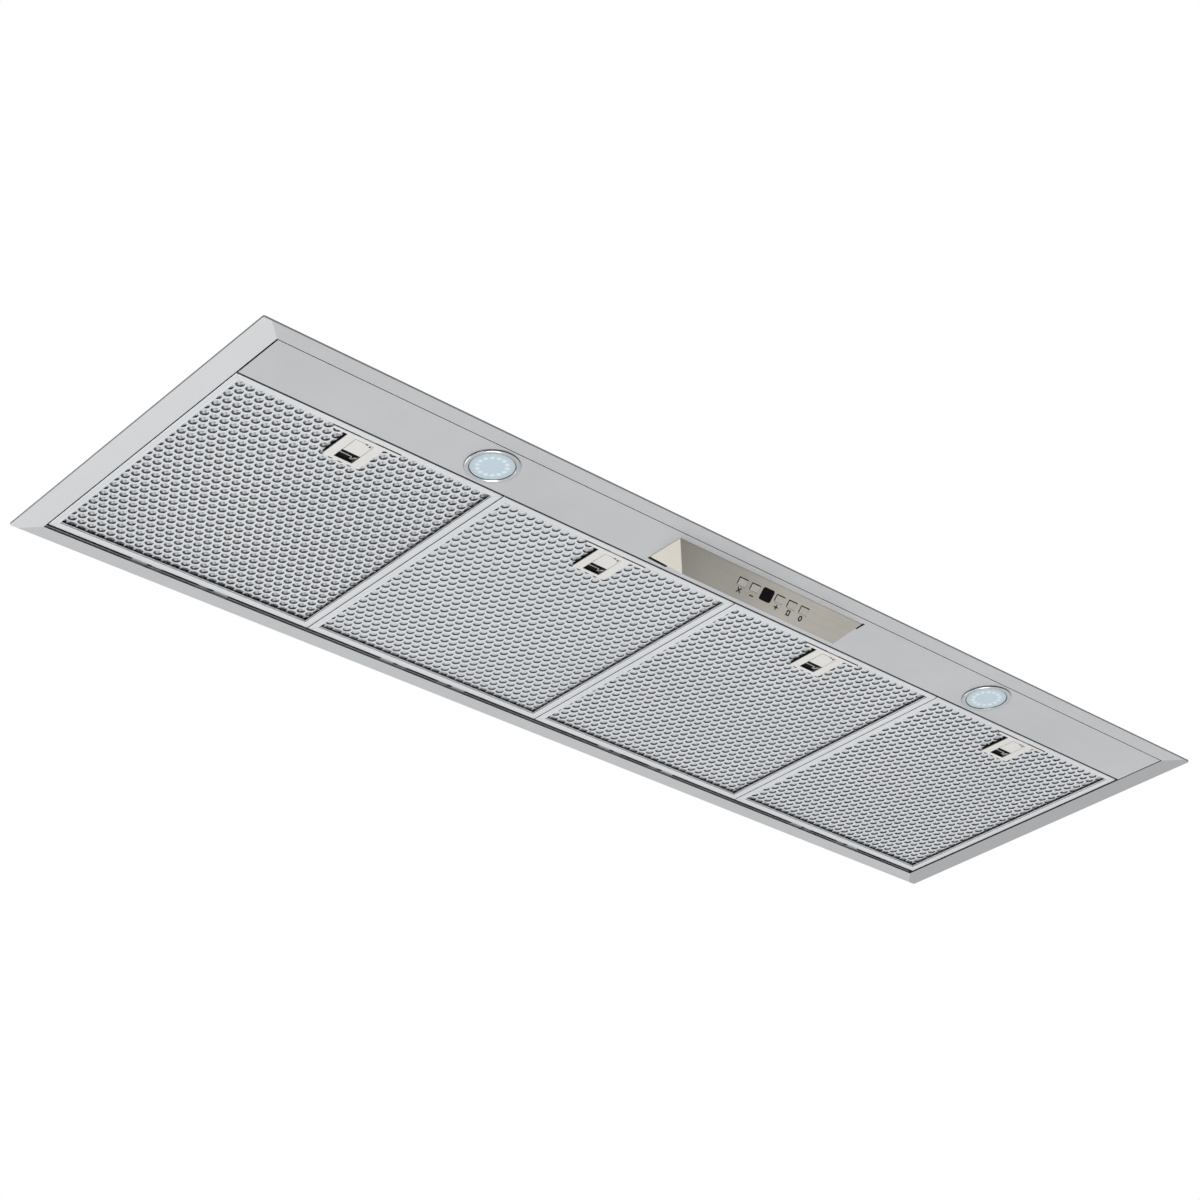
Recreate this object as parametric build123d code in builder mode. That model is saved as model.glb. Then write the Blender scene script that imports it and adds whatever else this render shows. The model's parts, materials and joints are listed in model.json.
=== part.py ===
from build123d import *
from math import cos, floor, radians, sin
import os

# Range hood insert: a flanged box that is let into the underside of a cabinet.
# Frame: millimetres, X to the right, Y towards the rear wall, Z up. The origin is the centre of the
# cabinet cut-out, on the flange's upper face, which is the face that meets the cabinet.

os.makedirs("parts", exist_ok=True)

# ---------------------------------------------------------------- sheet metal, flange and cut-out
SHEET = 1.0             # thickness of every folded steel sheet
FLANGE_W = 1200.0
FLANGE_D = 400.0
FLANGE_HEM_W = 12.0     # the flange's edge is folded back on itself over this width
FLANGE_CORNER_R = 1.5
BORDER_SIDE = 25.0      # flange width left and right of the cut-out
BORDER_END = 17.0       # flange width in front of the cut-out and behind it
UPSTAND_H = 10.0        # wall that rises round the cut-out
FIXING_HOLE_D = 4.5     # wood screws through the side walls into the cabinet
FIXING_SPACING = 240.0
FIXING_Z = 5.0

# ---------------------------------------------------------------- plenum above the cut-out
PLENUM_H = 128.0        # top plate's upper face above the cabinet face
TOP_W = 920.0
TOP_D = 229.0

# ---------------------------------------------------------------- control strip in front of the filters
SEAM = 0.9              # fine joint between the flange and the strip
END_GAP = 1.6           # at the ends of the strip and of the row of filters
DECK_D = 58.0           # from the cut-out's front edge to the strip's rear edge
DECK_RETURN_H = 8.0     # folded edges that stiffen the strip
DECK_REAR_LIP_H = 2.2

# ---------------------------------------------------------------- grease filters
FILTER_COUNT = 4
FILTER_T = 10.0
FILTER_SIDE_GAP = 0.4   # half of the gap between neighbours
FILTER_FRONT_GAP = 2.2
FILTER_REAR_GAP = 5.6
RIM_RECESS = 0.6        # rim's face above the flange's underside
RIM_W = 7.5
RIM_WALL = 1.2          # wall of the rolled rim, which is open inwards
RIM_ROUND = 1.0
MESH_RECESS = 4.0       # perforated face above the rim's face
FACE_T = 0.6
HOLE_D = 7.8
HOLE_PITCH = 10.1
HOLE_ROW = 8.9
CORE_GAP = 1.8          # air gap between the perforated face and the mesh pack
CORE_EDGE_W = 5.0       # the pack's crimped border, which spans that gap
TAB_W = 12.0            # tongues on the rim's rear edge
TAB_LENGTH = 3.8
TAB_T = 1.0
TAB_RISE = 2.4          # above the rim's face
TAB_OFFSETS = (-45.0, -26.0, 26.0, 45.0)
FILTER_OPEN_CLEARANCE = 0.3

# ---------------------------------------------------------------- rails that carry the filters
RAIL_T = 1.0
RAIL_H = 9.0
LUG_W = 16.0            # lugs under the outer tongues, on which a filter tilts
LUG_T = 0.8
LUG_REACH = 3.9

# ---------------------------------------------------------------- filter latches
LATCH_PROUD = 3.0       # latch plate below the perforated face
LATCH_PLATE_T = 1.0
LATCH_BODY_W = 39.0
LATCH_BODY_D = 41.0
LATCH_BAR_W = 72.0      # cross bar along the rim
LATCH_BAR_D = 3.5
LATCH_SETBACK = 2.5     # from the rim's inner edge to the cross bar
LATCH_SLOT_W = 19.6
LATCH_SLOT_START = 5.1  # from the cross bar's front face
LATCH_RIB_T = 1.5
SLIDER_D = 19.3
SLIDER_FIT = 0.3
LATCH_TRAVEL = 9.0
LATCH_WINDOW_REST = 3.5     # window length that is left when the slider is drawn back
BOLT_W = 16.0
BOLT_T = 1.5
BOLT_ENGAGE = 4.8       # bolt nose beyond the filter's front edge
LATCH_SPRING_R = 0.95   # to the wire's centre
LATCH_SPRING_WIRE = 0.4
LATCH_SPRING_TURNS = 7

# ---------------------------------------------------------------- lamps
LAMP_OFFSET = 325.5     # from the middle of the strip
LAMP_BEZEL_D = 51.0
LAMP_LENS_D = 43.0
LAMP_PROUD = 1.8
LAMP_HOLE_D = 46.5
LAMP_NECK_WALL = 1.2
LAMP_BODY_H = 12.0
LAMP_FIN_COUNT = 8

# ---------------------------------------------------------------- control console
CONSOLE_W = 240.0
CONSOLE_D = 41.0
CONSOLE_SLOPE = 45.0    # faces rise at this angle to a ridge
CONSOLE_WALL = 1.5
CONSOLE_LIP = 3.0       # lip that lies on the strip's upper face
CONSOLE_FIT = 0.4
DISPLAY_W = 14.5
DISPLAY_H = 12.6
DISPLAY_PROUD = 0.3
DISPLAY_FIT = 0.15
DISPLAY_CORNER_R = 2.2
BUTTON_W = 10.0
BUTTON_H = 7.0
BUTTON_PITCH = 16.25
BUTTON_SLOTS = (-2, -1, 1, 2, 3)    # places either side of the display, in button pitches
BUTTON_UP = 2.0         # buttons above the middle of the face
BUTTON_PROUD = 0.6
BUTTON_FIT = 0.3
BUTTON_TRAVEL = 1.0
BUTTON_COLLAR = 1.2     # collar that keeps the cap behind the wall
BUTTON_COLLAR_T = 0.8
BUTTON_STEM_D = 3.0
SWITCH_SIZE = 6.0
SWITCH_H = 2.4
BOARD_DEPTH = 8.0       # board behind the console's outer face
BOARD_T = 1.6
BOARD_W = 132.0
BOARD_H = 20.0
BOARD_DOWN = 2.0
BOARD_POST_D = 4.0
BOARD_POST_INSET = 4.0

# ---------------------------------------------------------------- blowers
BLOWER_OFFSET = 230.0   # wheel axis from the middle
BLOWER_H = 76.0
BLOWER_WALL = 1.5
SCROLL_R = 100.0
INLET_D = 116.0
INLET_LIP = 5.0
CHAMBER_W = 190.0       # outlet chamber under the duct collar
CHAMBER_D = 180.0
CHANNEL_D = 95.0        # air channel from each scroll to the chamber
BLOWER_FOOT = 16.0
WHEEL_R = 80.0
WHEEL_H = 36.0
WHEEL_PLATE_T = 1.5
WHEEL_RING_W = 3.0
BLADE_COUNT = 30
BLADE_CHORD = 15.0
BLADE_T = 1.2
BLADE_ANGLE = 28.0
HUB_D = 24.0
HUB_H = 12.0
SHAFT_D = 8.0
SHAFT_FIT = 0.05
MOTOR_D = 92.0
MOTOR_H = 30.0
MOTOR_GAP = 6.0         # between the motor and the wheel's plate
GUARD_RINGS = 5
GUARD_WIRE = 1.6
GUARD_T = 1.6

# ---------------------------------------------------------------- duct collar and non-return flaps
COLLAR_R = 75.0
COLLAR_H = 42.0
COLLAR_FLANGE_W = 16.0
COLLAR_FLANGE_T = 1.2
FLAP_HEIGHT = 12.0      # flap plane above the top plate
FLAP_T = 1.0
FLAP_EDGE_GAP = 1.5
FLAP_AXIS = 3.6         # hinge axis from the collar's middle
FLAP_PIN_D = 3.0
FLAP_PIN_FIT = 0.06
FLAP_BAR_W = 3.0
FLAP_EAR_T = 2.0
FLAP_EAR_Y = 58.0
FLAP_NOTCH = 1.0
FLAP_STOP_GAP = 0.3
STOP_LUG = 5.0

# ---------------------------------------------------------------- control box on the top plate
BOX_W = 160.0
BOX_D = 90.0
BOX_H = 32.0
BOX_WALL = 1.2
BOX_X = 340.0
BOX_Y_OFFSET = 20.0     # behind the middle of the top plate
BOX_POST_D = 8.0
BOARD_LIFT = 4.0
RELAY_SIZE = 15.0
RELAY_H = 12.0
GLAND_HEX = 22.0
GLAND_HEX_T = 6.0
GLAND_D = 16.0
GLAND_BORE = 8.5
GLAND_LENGTH = 14.0

# ---------------------------------------------------------------- fasteners
SCREW_D = 4.0
SCREW_HEAD_D = 7.6
SCREW_HEAD_H = 2.4
SCREW_DRIVE = 2.0
SCREW_LENGTH = 7.0      # with the head
SCREW_HOLE_D = SCREW_D + 0.2
COLLAR_SCREWS = 6
RIVET_PITCH = 260.0
RIVET_COUNT = 4
RIVET_D = 4.0
RIVET_FIT = 0.1
RIVET_HEAD_D = 7.0
RIVET_HEAD_H = 1.4

# ---------------------------------------------------------------- places worked out from the sizes
UNDERSIDE = -2 * SHEET              # the hem is two sheets thick and its upper face is at Z = 0
OPEN_W = FLANGE_W - 2 * BORDER_SIDE
OPEN_D = FLANGE_D - 2 * BORDER_END
SKIRT_W = OPEN_W + 4 * SHEET        # outside of the plenum's skirt, which wraps the upstand
SKIRT_D = OPEN_D + 4 * SHEET
TOP_Y = SKIRT_D / 2 - TOP_D / 2     # the rear wall is upright, so the top plate sits to the rear
CEILING = PLENUM_H - SHEET          # top plate's lower face

DECK_FRONT = -OPEN_D / 2 + SEAM
DECK_REAR = -OPEN_D / 2 + DECK_D
DECK_Y = (DECK_FRONT + DECK_REAR) / 2
DECK_W = OPEN_W - 2 * END_GAP
DECK_TOP = UNDERSIDE + SHEET
RAIL_FRONT_Y = DECK_REAR - SHEET - RAIL_T / 2

FILTER_PITCH = (OPEN_W - 2 * (END_GAP - FILTER_SIDE_GAP)) / FILTER_COUNT
FILTER_W = FILTER_PITCH - 2 * FILTER_SIDE_GAP
FILTER_FRONT = DECK_REAR + FILTER_FRONT_GAP
FILTER_REAR = OPEN_D / 2 - FILTER_REAR_GAP
FILTER_D = FILTER_REAR - FILTER_FRONT
FILTER_Y = (FILTER_REAR + FILTER_FRONT) / 2
FILTER_Z = UNDERSIDE + RIM_RECESS
MESH_Z = FILTER_Z + MESH_RECESS
STACK_W = FILTER_W - 2 * RIM_WALL
STACK_D = FILTER_D - 2 * RIM_WALL
STACK_T = FILTER_T - MESH_RECESS - RIM_WALL
WINDOW_W = FILTER_W - 2 * RIM_W
WINDOW_D = FILTER_D - 2 * RIM_W
FILTER_XS = [(n - (FILTER_COUNT - 1) / 2) * FILTER_PITCH for n in range(FILTER_COUNT)]
TILT_Y = OPEN_D / 2 - LUG_REACH - FILTER_OPEN_CLEARANCE     # a filter tilts about its lugs' tips
TILT_Z = FILTER_Z + TAB_RISE - FILTER_OPEN_CLEARANCE / 2

LATCH_Y = FILTER_FRONT + RIM_W + LATCH_SETBACK      # cross bar's front face
LATCH_Z = MESH_Z - LATCH_PROUD
SLOT_FRONT = LATCH_Y + LATCH_SLOT_START
SLIDER_FRONT = SLOT_FRONT + SLIDER_FIT
SLIDER_REAR = SLIDER_FRONT + SLIDER_D
SLOT_REAR = SLIDER_REAR + LATCH_TRAVEL + LATCH_WINDOW_REST
BOLT_Z = LATCH_Z + LATCH_PLATE_T + SLIDER_FIT / 2

CONSOLE_H = CONSOLE_D / 2 * sin(radians(CONSOLE_SLOPE)) / cos(radians(CONSOLE_SLOPE))
# The console's front face: local X runs along it, local Y up the slope, local Z out of it.
CONSOLE_FACE = Plane(
    origin=(0, DECK_Y - CONSOLE_D / 4, UNDERSIDE - CONSOLE_H / 2),
    x_dir=(1, 0, 0),
    z_dir=(0, -sin(radians(CONSOLE_SLOPE)), -cos(radians(CONSOLE_SLOPE))),
)
FACE_OUTWARD = Axis(CONSOLE_FACE.origin, CONSOLE_FACE.z_dir)

BLOWER_Z = CEILING - BLOWER_H       # underside of the blower box
FOOT_X = BLOWER_OFFSET + (SCROLL_R + BLOWER_FOOT / 2) * cos(radians(45))
FOOT_Y = (SCROLL_R + BLOWER_FOOT / 2) * sin(radians(45))
WHEEL_TOP = CEILING - MOTOR_H - MOTOR_GAP
FLAP_Z = PLENUM_H + FLAP_HEIGHT
BOX_Y = TOP_Y + BOX_Y_OFFSET


def save(builder, name):
    """Label a finished piece and write it."""
    builder.part.label = name
    export_step(builder.part, f"parts/{name}.step")


def fixing_holes():
    """Holes for the cabinet screws, drawn on a YZ sketch."""
    with Locations((0, FIXING_Z)):
        with GridLocations(FIXING_SPACING, 1, 2, 1):
            Circle(FIXING_HOLE_D / 2)


def rivet_holes():
    """Holes for the skirt rivets, drawn on an XZ sketch."""
    with Locations((0, FIXING_Z)):
        with GridLocations(RIVET_PITCH, 1, RIVET_COUNT, 1):
            Circle(RIVET_D / 2 + RIVET_FIT)


# ================================================================ trim frame
# Flange that covers the edge of the cabinet cut-out, with a wall rising round the opening. Its edge is
# hemmed, and the cabinet rests on the hem.
with BuildPart() as trim_frame:
    with BuildSketch(Plane.XY.offset(UNDERSIDE)):
        RectangleRounded(FLANGE_W, FLANGE_D, FLANGE_CORNER_R)
        Rectangle(OPEN_W, OPEN_D, mode=Mode.SUBTRACT)
    extrude(amount=2 * SHEET)
    with BuildSketch():
        Rectangle(FLANGE_W - 2 * FLANGE_HEM_W, FLANGE_D - 2 * FLANGE_HEM_W)
    extrude(amount=-SHEET, mode=Mode.SUBTRACT)
    with BuildSketch(Plane.XY.offset(-SHEET)):
        Rectangle(OPEN_W + 2 * SHEET, OPEN_D + 2 * SHEET)
        Rectangle(OPEN_W, OPEN_D, mode=Mode.SUBTRACT)
    extrude(amount=UPSTAND_H + SHEET)
    with BuildSketch(Plane.YZ):
        fixing_holes()
    extrude(amount=SKIRT_W / 2 + SHEET, both=True, mode=Mode.SUBTRACT)
    with BuildSketch(Plane.XZ):
        rivet_holes()
    extrude(amount=SKIRT_D / 2 + SHEET, both=True, mode=Mode.SUBTRACT)
save(trim_frame, "trim_frame")

# ================================================================ plenum shell
# Folded canopy: a skirt outside the upstand, sloping front and sides, an upright rear wall and a
# flat top plate with the duct hole.
with BuildPart() as plenum_shell:
    with BuildSketch(Plane.XY.offset(-SHEET)):
        Rectangle(SKIRT_W, SKIRT_D)
    extrude(amount=UPSTAND_H + SHEET)
    with BuildSketch(Plane.XY.offset(UPSTAND_H)):
        Rectangle(SKIRT_W, SKIRT_D)
    with BuildSketch(Plane.XY.offset(PLENUM_H)):
        with Locations((0, TOP_Y)):
            Rectangle(TOP_W, TOP_D)
    loft()
    with BuildSketch(Plane.XY.offset(-SHEET)):
        Rectangle(SKIRT_W - 2 * SHEET, SKIRT_D - 2 * SHEET)
    extrude(amount=UPSTAND_H + SHEET, mode=Mode.SUBTRACT)
    with BuildSketch(Plane.XY.offset(UPSTAND_H)):
        Rectangle(SKIRT_W - 2 * SHEET, SKIRT_D - 2 * SHEET)
    with BuildSketch(Plane.XY.offset(CEILING)):
        with Locations((0, TOP_Y)):
            Rectangle(TOP_W - 2 * SHEET, TOP_D - 2 * SHEET)
    loft(mode=Mode.SUBTRACT)
    with BuildSketch(Plane.XY.offset(CEILING)):
        with Locations((0, TOP_Y)):
            Circle(COLLAR_R - SHEET)
            with PolarLocations(COLLAR_R + COLLAR_FLANGE_W / 2, COLLAR_SCREWS):
                Circle(SCREW_HOLE_D / 2)
            with GridLocations(2 * FOOT_X, 2 * FOOT_Y, 2, 2):
                Circle(SCREW_HOLE_D / 2)
        with Locations((BOX_X, BOX_Y)):
            Circle(GLAND_D / 2)
    extrude(amount=SHEET, mode=Mode.SUBTRACT)
    with BuildSketch(Plane.YZ):
        fixing_holes()
    extrude(amount=SKIRT_W / 2 + SHEET, both=True, mode=Mode.SUBTRACT)
    with BuildSketch(Plane.XZ):
        rivet_holes()
    extrude(amount=SKIRT_D / 2 + SHEET, both=True, mode=Mode.SUBTRACT)
save(plenum_shell, "plenum_shell")

# ================================================================ control strip
# Shallow pan flush with the flange, with holes for the lamps and the console.
with BuildPart() as deck_plate:
    with BuildSketch(Plane.XY.offset(UNDERSIDE)):
        with Locations((0, DECK_Y)):
            Rectangle(DECK_W, DECK_REAR - DECK_FRONT)
            Rectangle(CONSOLE_W + 2 * CONSOLE_FIT, CONSOLE_D + 2 * CONSOLE_FIT, mode=Mode.SUBTRACT)
            with GridLocations(2 * LAMP_OFFSET, 1, 2, 1):
                Circle(LAMP_HOLE_D / 2, mode=Mode.SUBTRACT)
    extrude(amount=SHEET)
    with BuildSketch(Plane.XY.offset(DECK_TOP)):
        with Locations((0, DECK_FRONT + SHEET / 2)):
            Rectangle(DECK_W, SHEET)
        with Locations((0, (DECK_FRONT + RAIL_FRONT_Y - RAIL_T / 2) / 2)):
            with GridLocations(DECK_W - SHEET, 1, 2, 1):
                Rectangle(SHEET, RAIL_FRONT_Y - RAIL_T / 2 - DECK_FRONT)
    extrude(amount=DECK_RETURN_H)
    with BuildSketch(Plane.XY.offset(DECK_TOP)):
        with Locations((0, DECK_REAR - SHEET / 2)):
            Rectangle(DECK_W, SHEET)
    extrude(amount=DECK_REAR_LIP_H - SHEET)
save(deck_plate, "deck_plate")

# ================================================================ filter rails
# Front rail: a strip from side to side in front of the filters, which also carries the control
# strip's rear edge. It has a keeper hole for each latch bolt.
KEEPER_BOTTOM = BOLT_Z - FILTER_OPEN_CLEARANCE
KEEPER_TOP = BOLT_Z + BOLT_T + FILTER_OPEN_CLEARANCE
with BuildPart() as filter_rail_front:
    with BuildSketch(Plane.XY.offset(DECK_TOP)):
        with Locations((0, RAIL_FRONT_Y)):
            Rectangle(OPEN_W, RAIL_T)
    extrude(amount=RAIL_H)
    with BuildSketch(Plane.XY.offset(KEEPER_BOTTOM)):
        with Locations(*[(x, RAIL_FRONT_Y) for x in FILTER_XS]):
            Rectangle(BOLT_W + 2, 2 * RAIL_T)
    extrude(amount=KEEPER_TOP - KEEPER_BOTTOM, mode=Mode.SUBTRACT)
save(filter_rail_front, "filter_rail_front")

# Rear rail: a strip on the upstand with two lugs behind each filter, under its outer tongues.
LUG_TOP = FILTER_Z + TAB_RISE - FILTER_OPEN_CLEARANCE
with BuildPart() as filter_rail_rear:
    with BuildSketch(Plane.XY.offset(LUG_TOP - LUG_T)):
        with Locations((0, OPEN_D / 2 - RAIL_T / 2)):
            Rectangle(OPEN_W - 2 * END_GAP, RAIL_T)
    extrude(amount=RAIL_H)
    with BuildSketch(Plane.XY.offset(LUG_TOP - LUG_T)):
        for x in FILTER_XS:
            for offset in (TAB_OFFSETS[0], TAB_OFFSETS[-1]):
                with Locations((x + offset, (OPEN_D - LUG_REACH) / 2)):
                    Rectangle(LUG_W, LUG_REACH)
    extrude(amount=LUG_T)
save(filter_rail_rear, "filter_rail_rear")

# ================================================================ one filter, drawn about X = 0
with BuildPart() as rim:
    with BuildSketch(Plane.XY.offset(FILTER_Z)):
        with Locations((0, FILTER_Y)):
            Rectangle(FILTER_W, FILTER_D)
            Rectangle(WINDOW_W, WINDOW_D, mode=Mode.SUBTRACT)
    extrude(amount=FILTER_T)
    lower_face = rim.faces().sort_by(Axis.Z)[0]
    fillet(lower_face.outer_wire().edges(), RIM_ROUND)
    with BuildSketch(Plane.XY.offset(FILTER_Z + RIM_WALL)):
        with Locations((0, FILTER_Y)):
            Rectangle(STACK_W, STACK_D)
    extrude(amount=FILTER_T - 2 * RIM_WALL, mode=Mode.SUBTRACT)
    with BuildSketch(Plane.XY.offset(BOLT_Z - SLIDER_FIT / 2)):
        with Locations((0, FILTER_FRONT + RIM_W / 2)):
            Rectangle(BOLT_W + 2 * SLIDER_FIT, RIM_W + 1)
    extrude(amount=BOLT_T + SLIDER_FIT, mode=Mode.SUBTRACT)
    with BuildSketch(Plane.XY.offset(FILTER_Z + TAB_RISE)):
        with Locations(*[(x, FILTER_REAR + (TAB_LENGTH - RIM_WALL) / 2) for x in TAB_OFFSETS]):
            Rectangle(TAB_W, TAB_LENGTH + RIM_WALL)
    extrude(amount=TAB_T)

HOLE_MARGIN = 1.0
HOLE_COLUMNS = floor((STACK_W - HOLE_D - 2 * HOLE_MARGIN) / HOLE_PITCH) + 1
HOLE_ROWS = floor((STACK_D - HOLE_D - 2 * HOLE_MARGIN) / HOLE_ROW) + 1
with BuildPart() as face_sheet:
    with BuildSketch(Plane.XY.offset(MESH_Z)):
        with Locations((0, FILTER_Y)):
            Rectangle(STACK_W, STACK_D)
            with GridLocations(HOLE_PITCH, 2 * HOLE_ROW, HOLE_COLUMNS, (HOLE_ROWS + 1) // 2):
                Circle(HOLE_D / 2, mode=Mode.SUBTRACT)
            with GridLocations(HOLE_PITCH, 2 * HOLE_ROW, HOLE_COLUMNS - 1, HOLE_ROWS // 2):
                Circle(HOLE_D / 2, mode=Mode.SUBTRACT)
    extrude(amount=FACE_T, clean=False)

# Mesh pack: the layers of expanded foil, taken together, with a crimped border.
CORE_Z = MESH_Z + FACE_T
with BuildPart() as core:
    with BuildSketch(Plane.XY.offset(CORE_Z)):
        with Locations((0, FILTER_Y)):
            Rectangle(STACK_W, STACK_D)
    extrude(amount=STACK_T - FACE_T)
    with BuildSketch(Plane.XY.offset(CORE_Z)):
        with Locations((0, FILTER_Y)):
            Rectangle(STACK_W - 2 * CORE_EDGE_W, STACK_D - 2 * CORE_EDGE_W)
    extrude(amount=CORE_GAP, mode=Mode.SUBTRACT)

# Latch plate: a T that stands proud of the mesh, open at its sides, with a slot for the slider.
with BuildPart() as latch_case:
    with BuildSketch(Plane.XY.offset(LATCH_Z)):
        with Locations((0, LATCH_Y + LATCH_BAR_D / 2)):
            Rectangle(LATCH_BAR_W, LATCH_BAR_D)
        with Locations((0, LATCH_Y + LATCH_BODY_D / 2)):
            Rectangle(LATCH_BODY_W, LATCH_BODY_D)
        with Locations((0, (SLOT_FRONT + SLOT_REAR) / 2)):
            Rectangle(LATCH_SLOT_W, SLOT_REAR - SLOT_FRONT, mode=Mode.SUBTRACT)
    extrude(amount=LATCH_PLATE_T)
    with BuildSketch(Plane.XY.offset(LATCH_Z + LATCH_PLATE_T)):
        with Locations((0, LATCH_Y + LATCH_BAR_D / 2)):
            Rectangle(LATCH_BAR_W, LATCH_BAR_D)
            Rectangle(LATCH_SLOT_W, LATCH_BAR_D, mode=Mode.SUBTRACT)
        with Locations((0, LATCH_Y + LATCH_BODY_D - LATCH_RIB_T / 2)):
            Rectangle(LATCH_BODY_W, LATCH_RIB_T)
        with Locations((0, LATCH_Y + LATCH_BODY_D / 2)):
            with GridLocations(LATCH_SLOT_W + LATCH_RIB_T, 1, 2, 1):
                Rectangle(LATCH_RIB_T, LATCH_BODY_D)
    extrude(amount=LATCH_PROUD - LATCH_PLATE_T)

# Slider: a thumb block in the slot, with a flat bolt that runs out through the rim.
BOLT_FRONT = FILTER_FRONT - BOLT_ENGAGE
with BuildPart() as latch_slider:
    with BuildSketch(Plane.XY.offset(LATCH_Z)):
        with Locations((0, (SLIDER_FRONT + SLIDER_REAR) / 2)):
            Rectangle(LATCH_SLOT_W - 2 * SLIDER_FIT, SLIDER_D)
    extrude(amount=BOLT_Z + BOLT_T - LATCH_Z)
    thumb_edge = latch_slider.edges().filter_by(Axis.X).group_by(Axis.Z)[0].sort_by(Axis.Y)[-1]
    chamfer(thumb_edge, LATCH_PLATE_T / 2)
    with BuildSketch(Plane.XY.offset(BOLT_Z)):
        with Locations((0, (BOLT_FRONT + SLIDER_REAR) / 2)):
            Rectangle(BOLT_W, SLIDER_REAR - BOLT_FRONT)
    extrude(amount=BOLT_T)

# Return spring in the slot behind the slider: one open coil of wire.
SPRING_FRONT = SLIDER_REAR + SLIDER_FIT
SPRING_LENGTH = SLOT_REAR - SLIDER_FIT - SPRING_FRONT
SPRING_Z = MESH_Z - SLIDER_FIT - LATCH_SPRING_R - LATCH_SPRING_WIRE / 2
SPRING_LEAD = (SPRING_LENGTH - LATCH_SPRING_WIRE) / LATCH_SPRING_TURNS
with BuildPart() as latch_coil:
    with BuildLine():
        Helix(SPRING_LEAD, SPRING_LEAD * LATCH_SPRING_TURNS, LATCH_SPRING_R)
    coil_path = latch_coil.pending_edges_as_wire
    with BuildSketch(Plane(origin=coil_path @ 0, z_dir=coil_path % 0)):
        Circle(LATCH_SPRING_WIRE / 2)
    sweep(is_frenet=True)
with BuildPart() as latch_spring:
    with Locations(Location((0, SPRING_FRONT + LATCH_SPRING_WIRE / 2, SPRING_Z), (-90, 0, 0))):
        add(latch_coil.part)
print(f"filters at x {[round(x, 3) for x in FILTER_XS]}, tilting about y {TILT_Y:.2f}, z {TILT_Z:.2f}")
print(f"spring's fixed end at y {SPRING_FRONT + SPRING_LENGTH:.2f}; slider z {LATCH_Z:.2f}")
print(f"latch spring: gap between turns {SPRING_LEAD - LATCH_SPRING_WIRE:.2f} mm")

FILTER_PIECES = {
    "filter_rim": rim,
    "filter_face": face_sheet,
    "filter_core": core,
    "latch_case": latch_case,
    "latch_slider": latch_slider,
    "latch_spring": latch_spring,
}
for number, x in enumerate(FILTER_XS, start=1):
    for piece_name, piece in FILTER_PIECES.items():
        with BuildPart() as placed:
            with Locations((x, 0, 0)):
                add(piece.part, clean=False)
        save(placed, f"{piece_name}_{number}")

# ================================================================ lamps
LAMP_FACE = UNDERSIDE - LAMP_PROUD
LENS_T = LAMP_PROUD + SHEET
with BuildPart() as lamp_bezel:
    with BuildSketch(Plane.XY.offset(LAMP_FACE)):
        Circle(LAMP_BEZEL_D / 2)
        Circle(LAMP_LENS_D / 2, mode=Mode.SUBTRACT)
    extrude(amount=LAMP_PROUD)
    fillet(lamp_bezel.faces().sort_by(Axis.Z)[0].edges(), LAMP_PROUD / 3)
    with BuildSketch(Plane.XY.offset(UNDERSIDE)):
        Circle(LAMP_LENS_D / 2 + LAMP_NECK_WALL)
        Circle(LAMP_LENS_D / 2, mode=Mode.SUBTRACT)
    extrude(amount=2 * SHEET)

LENS_FIT = 0.1
with BuildPart() as lamp_lens:
    with BuildSketch(Plane.XY.offset(LAMP_FACE + LAMP_PROUD / 3)):
        Circle(LAMP_LENS_D / 2 - LENS_FIT)
    extrude(amount=LENS_T)
    fillet(lamp_lens.faces().sort_by(Axis.Z)[0].edges(), LAMP_PROUD / 3)

# The can behind the lens holds the light board and is finned to shed heat.
CAN_Z = LAMP_FACE + LAMP_PROUD / 3 + LENS_T
FIN_W = 1.6
FIN_DEPTH = 3.0
with BuildPart() as lamp_body:
    with BuildSketch(Plane.XY.offset(CAN_Z)):
        Circle(LAMP_LENS_D / 2 - LENS_FIT)
    extrude(amount=LAMP_BODY_H - CAN_Z)
    with BuildSketch(Plane.XY.offset(LAMP_BODY_H - FIN_DEPTH)):
        with GridLocations(1, LAMP_LENS_D / LAMP_FIN_COUNT, 1, LAMP_FIN_COUNT):
            Rectangle(LAMP_LENS_D, FIN_W)
    extrude(amount=FIN_DEPTH, mode=Mode.SUBTRACT)

for side, x in (("left", -LAMP_OFFSET), ("right", LAMP_OFFSET)):
    for piece_name, piece in (("bezel", lamp_bezel), ("lens", lamp_lens), ("body", lamp_body)):
        with BuildPart() as placed:
            with Locations((x, DECK_Y, 0)):
                add(piece.part, clean=False)
        save(placed, f"lamp_{piece_name}_{side}")

# ================================================================ control console
# Hipped hood under the control strip: four faces rise from its edge to a ridge, and the front one
# carries the display and the buttons towards the cook.
BUTTON_XS = [slot * BUTTON_PITCH for slot in BUTTON_SLOTS]


def hip(width, depth, height, base_z):
    """A hipped prism below base_z, its end faces at the same slope as its long faces."""
    with BuildPart() as prism:
        with BuildSketch(Plane.YZ.offset(-width / 2)):
            with BuildLine():
                Polyline(
                    (DECK_Y - depth / 2, base_z),
                    (DECK_Y, base_z - height),
                    (DECK_Y + depth / 2, base_z),
                    close=True,
                )
            make_face()
        extrude(amount=width)
        for end in (-1, 1):
            outward = (end * height, 0, -depth / 2)
            split(bisect_by=Plane(origin=(end * width / 2, DECK_Y, base_z), z_dir=outward),
                  keep=Keep.BOTTOM)
    return prism.part


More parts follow.
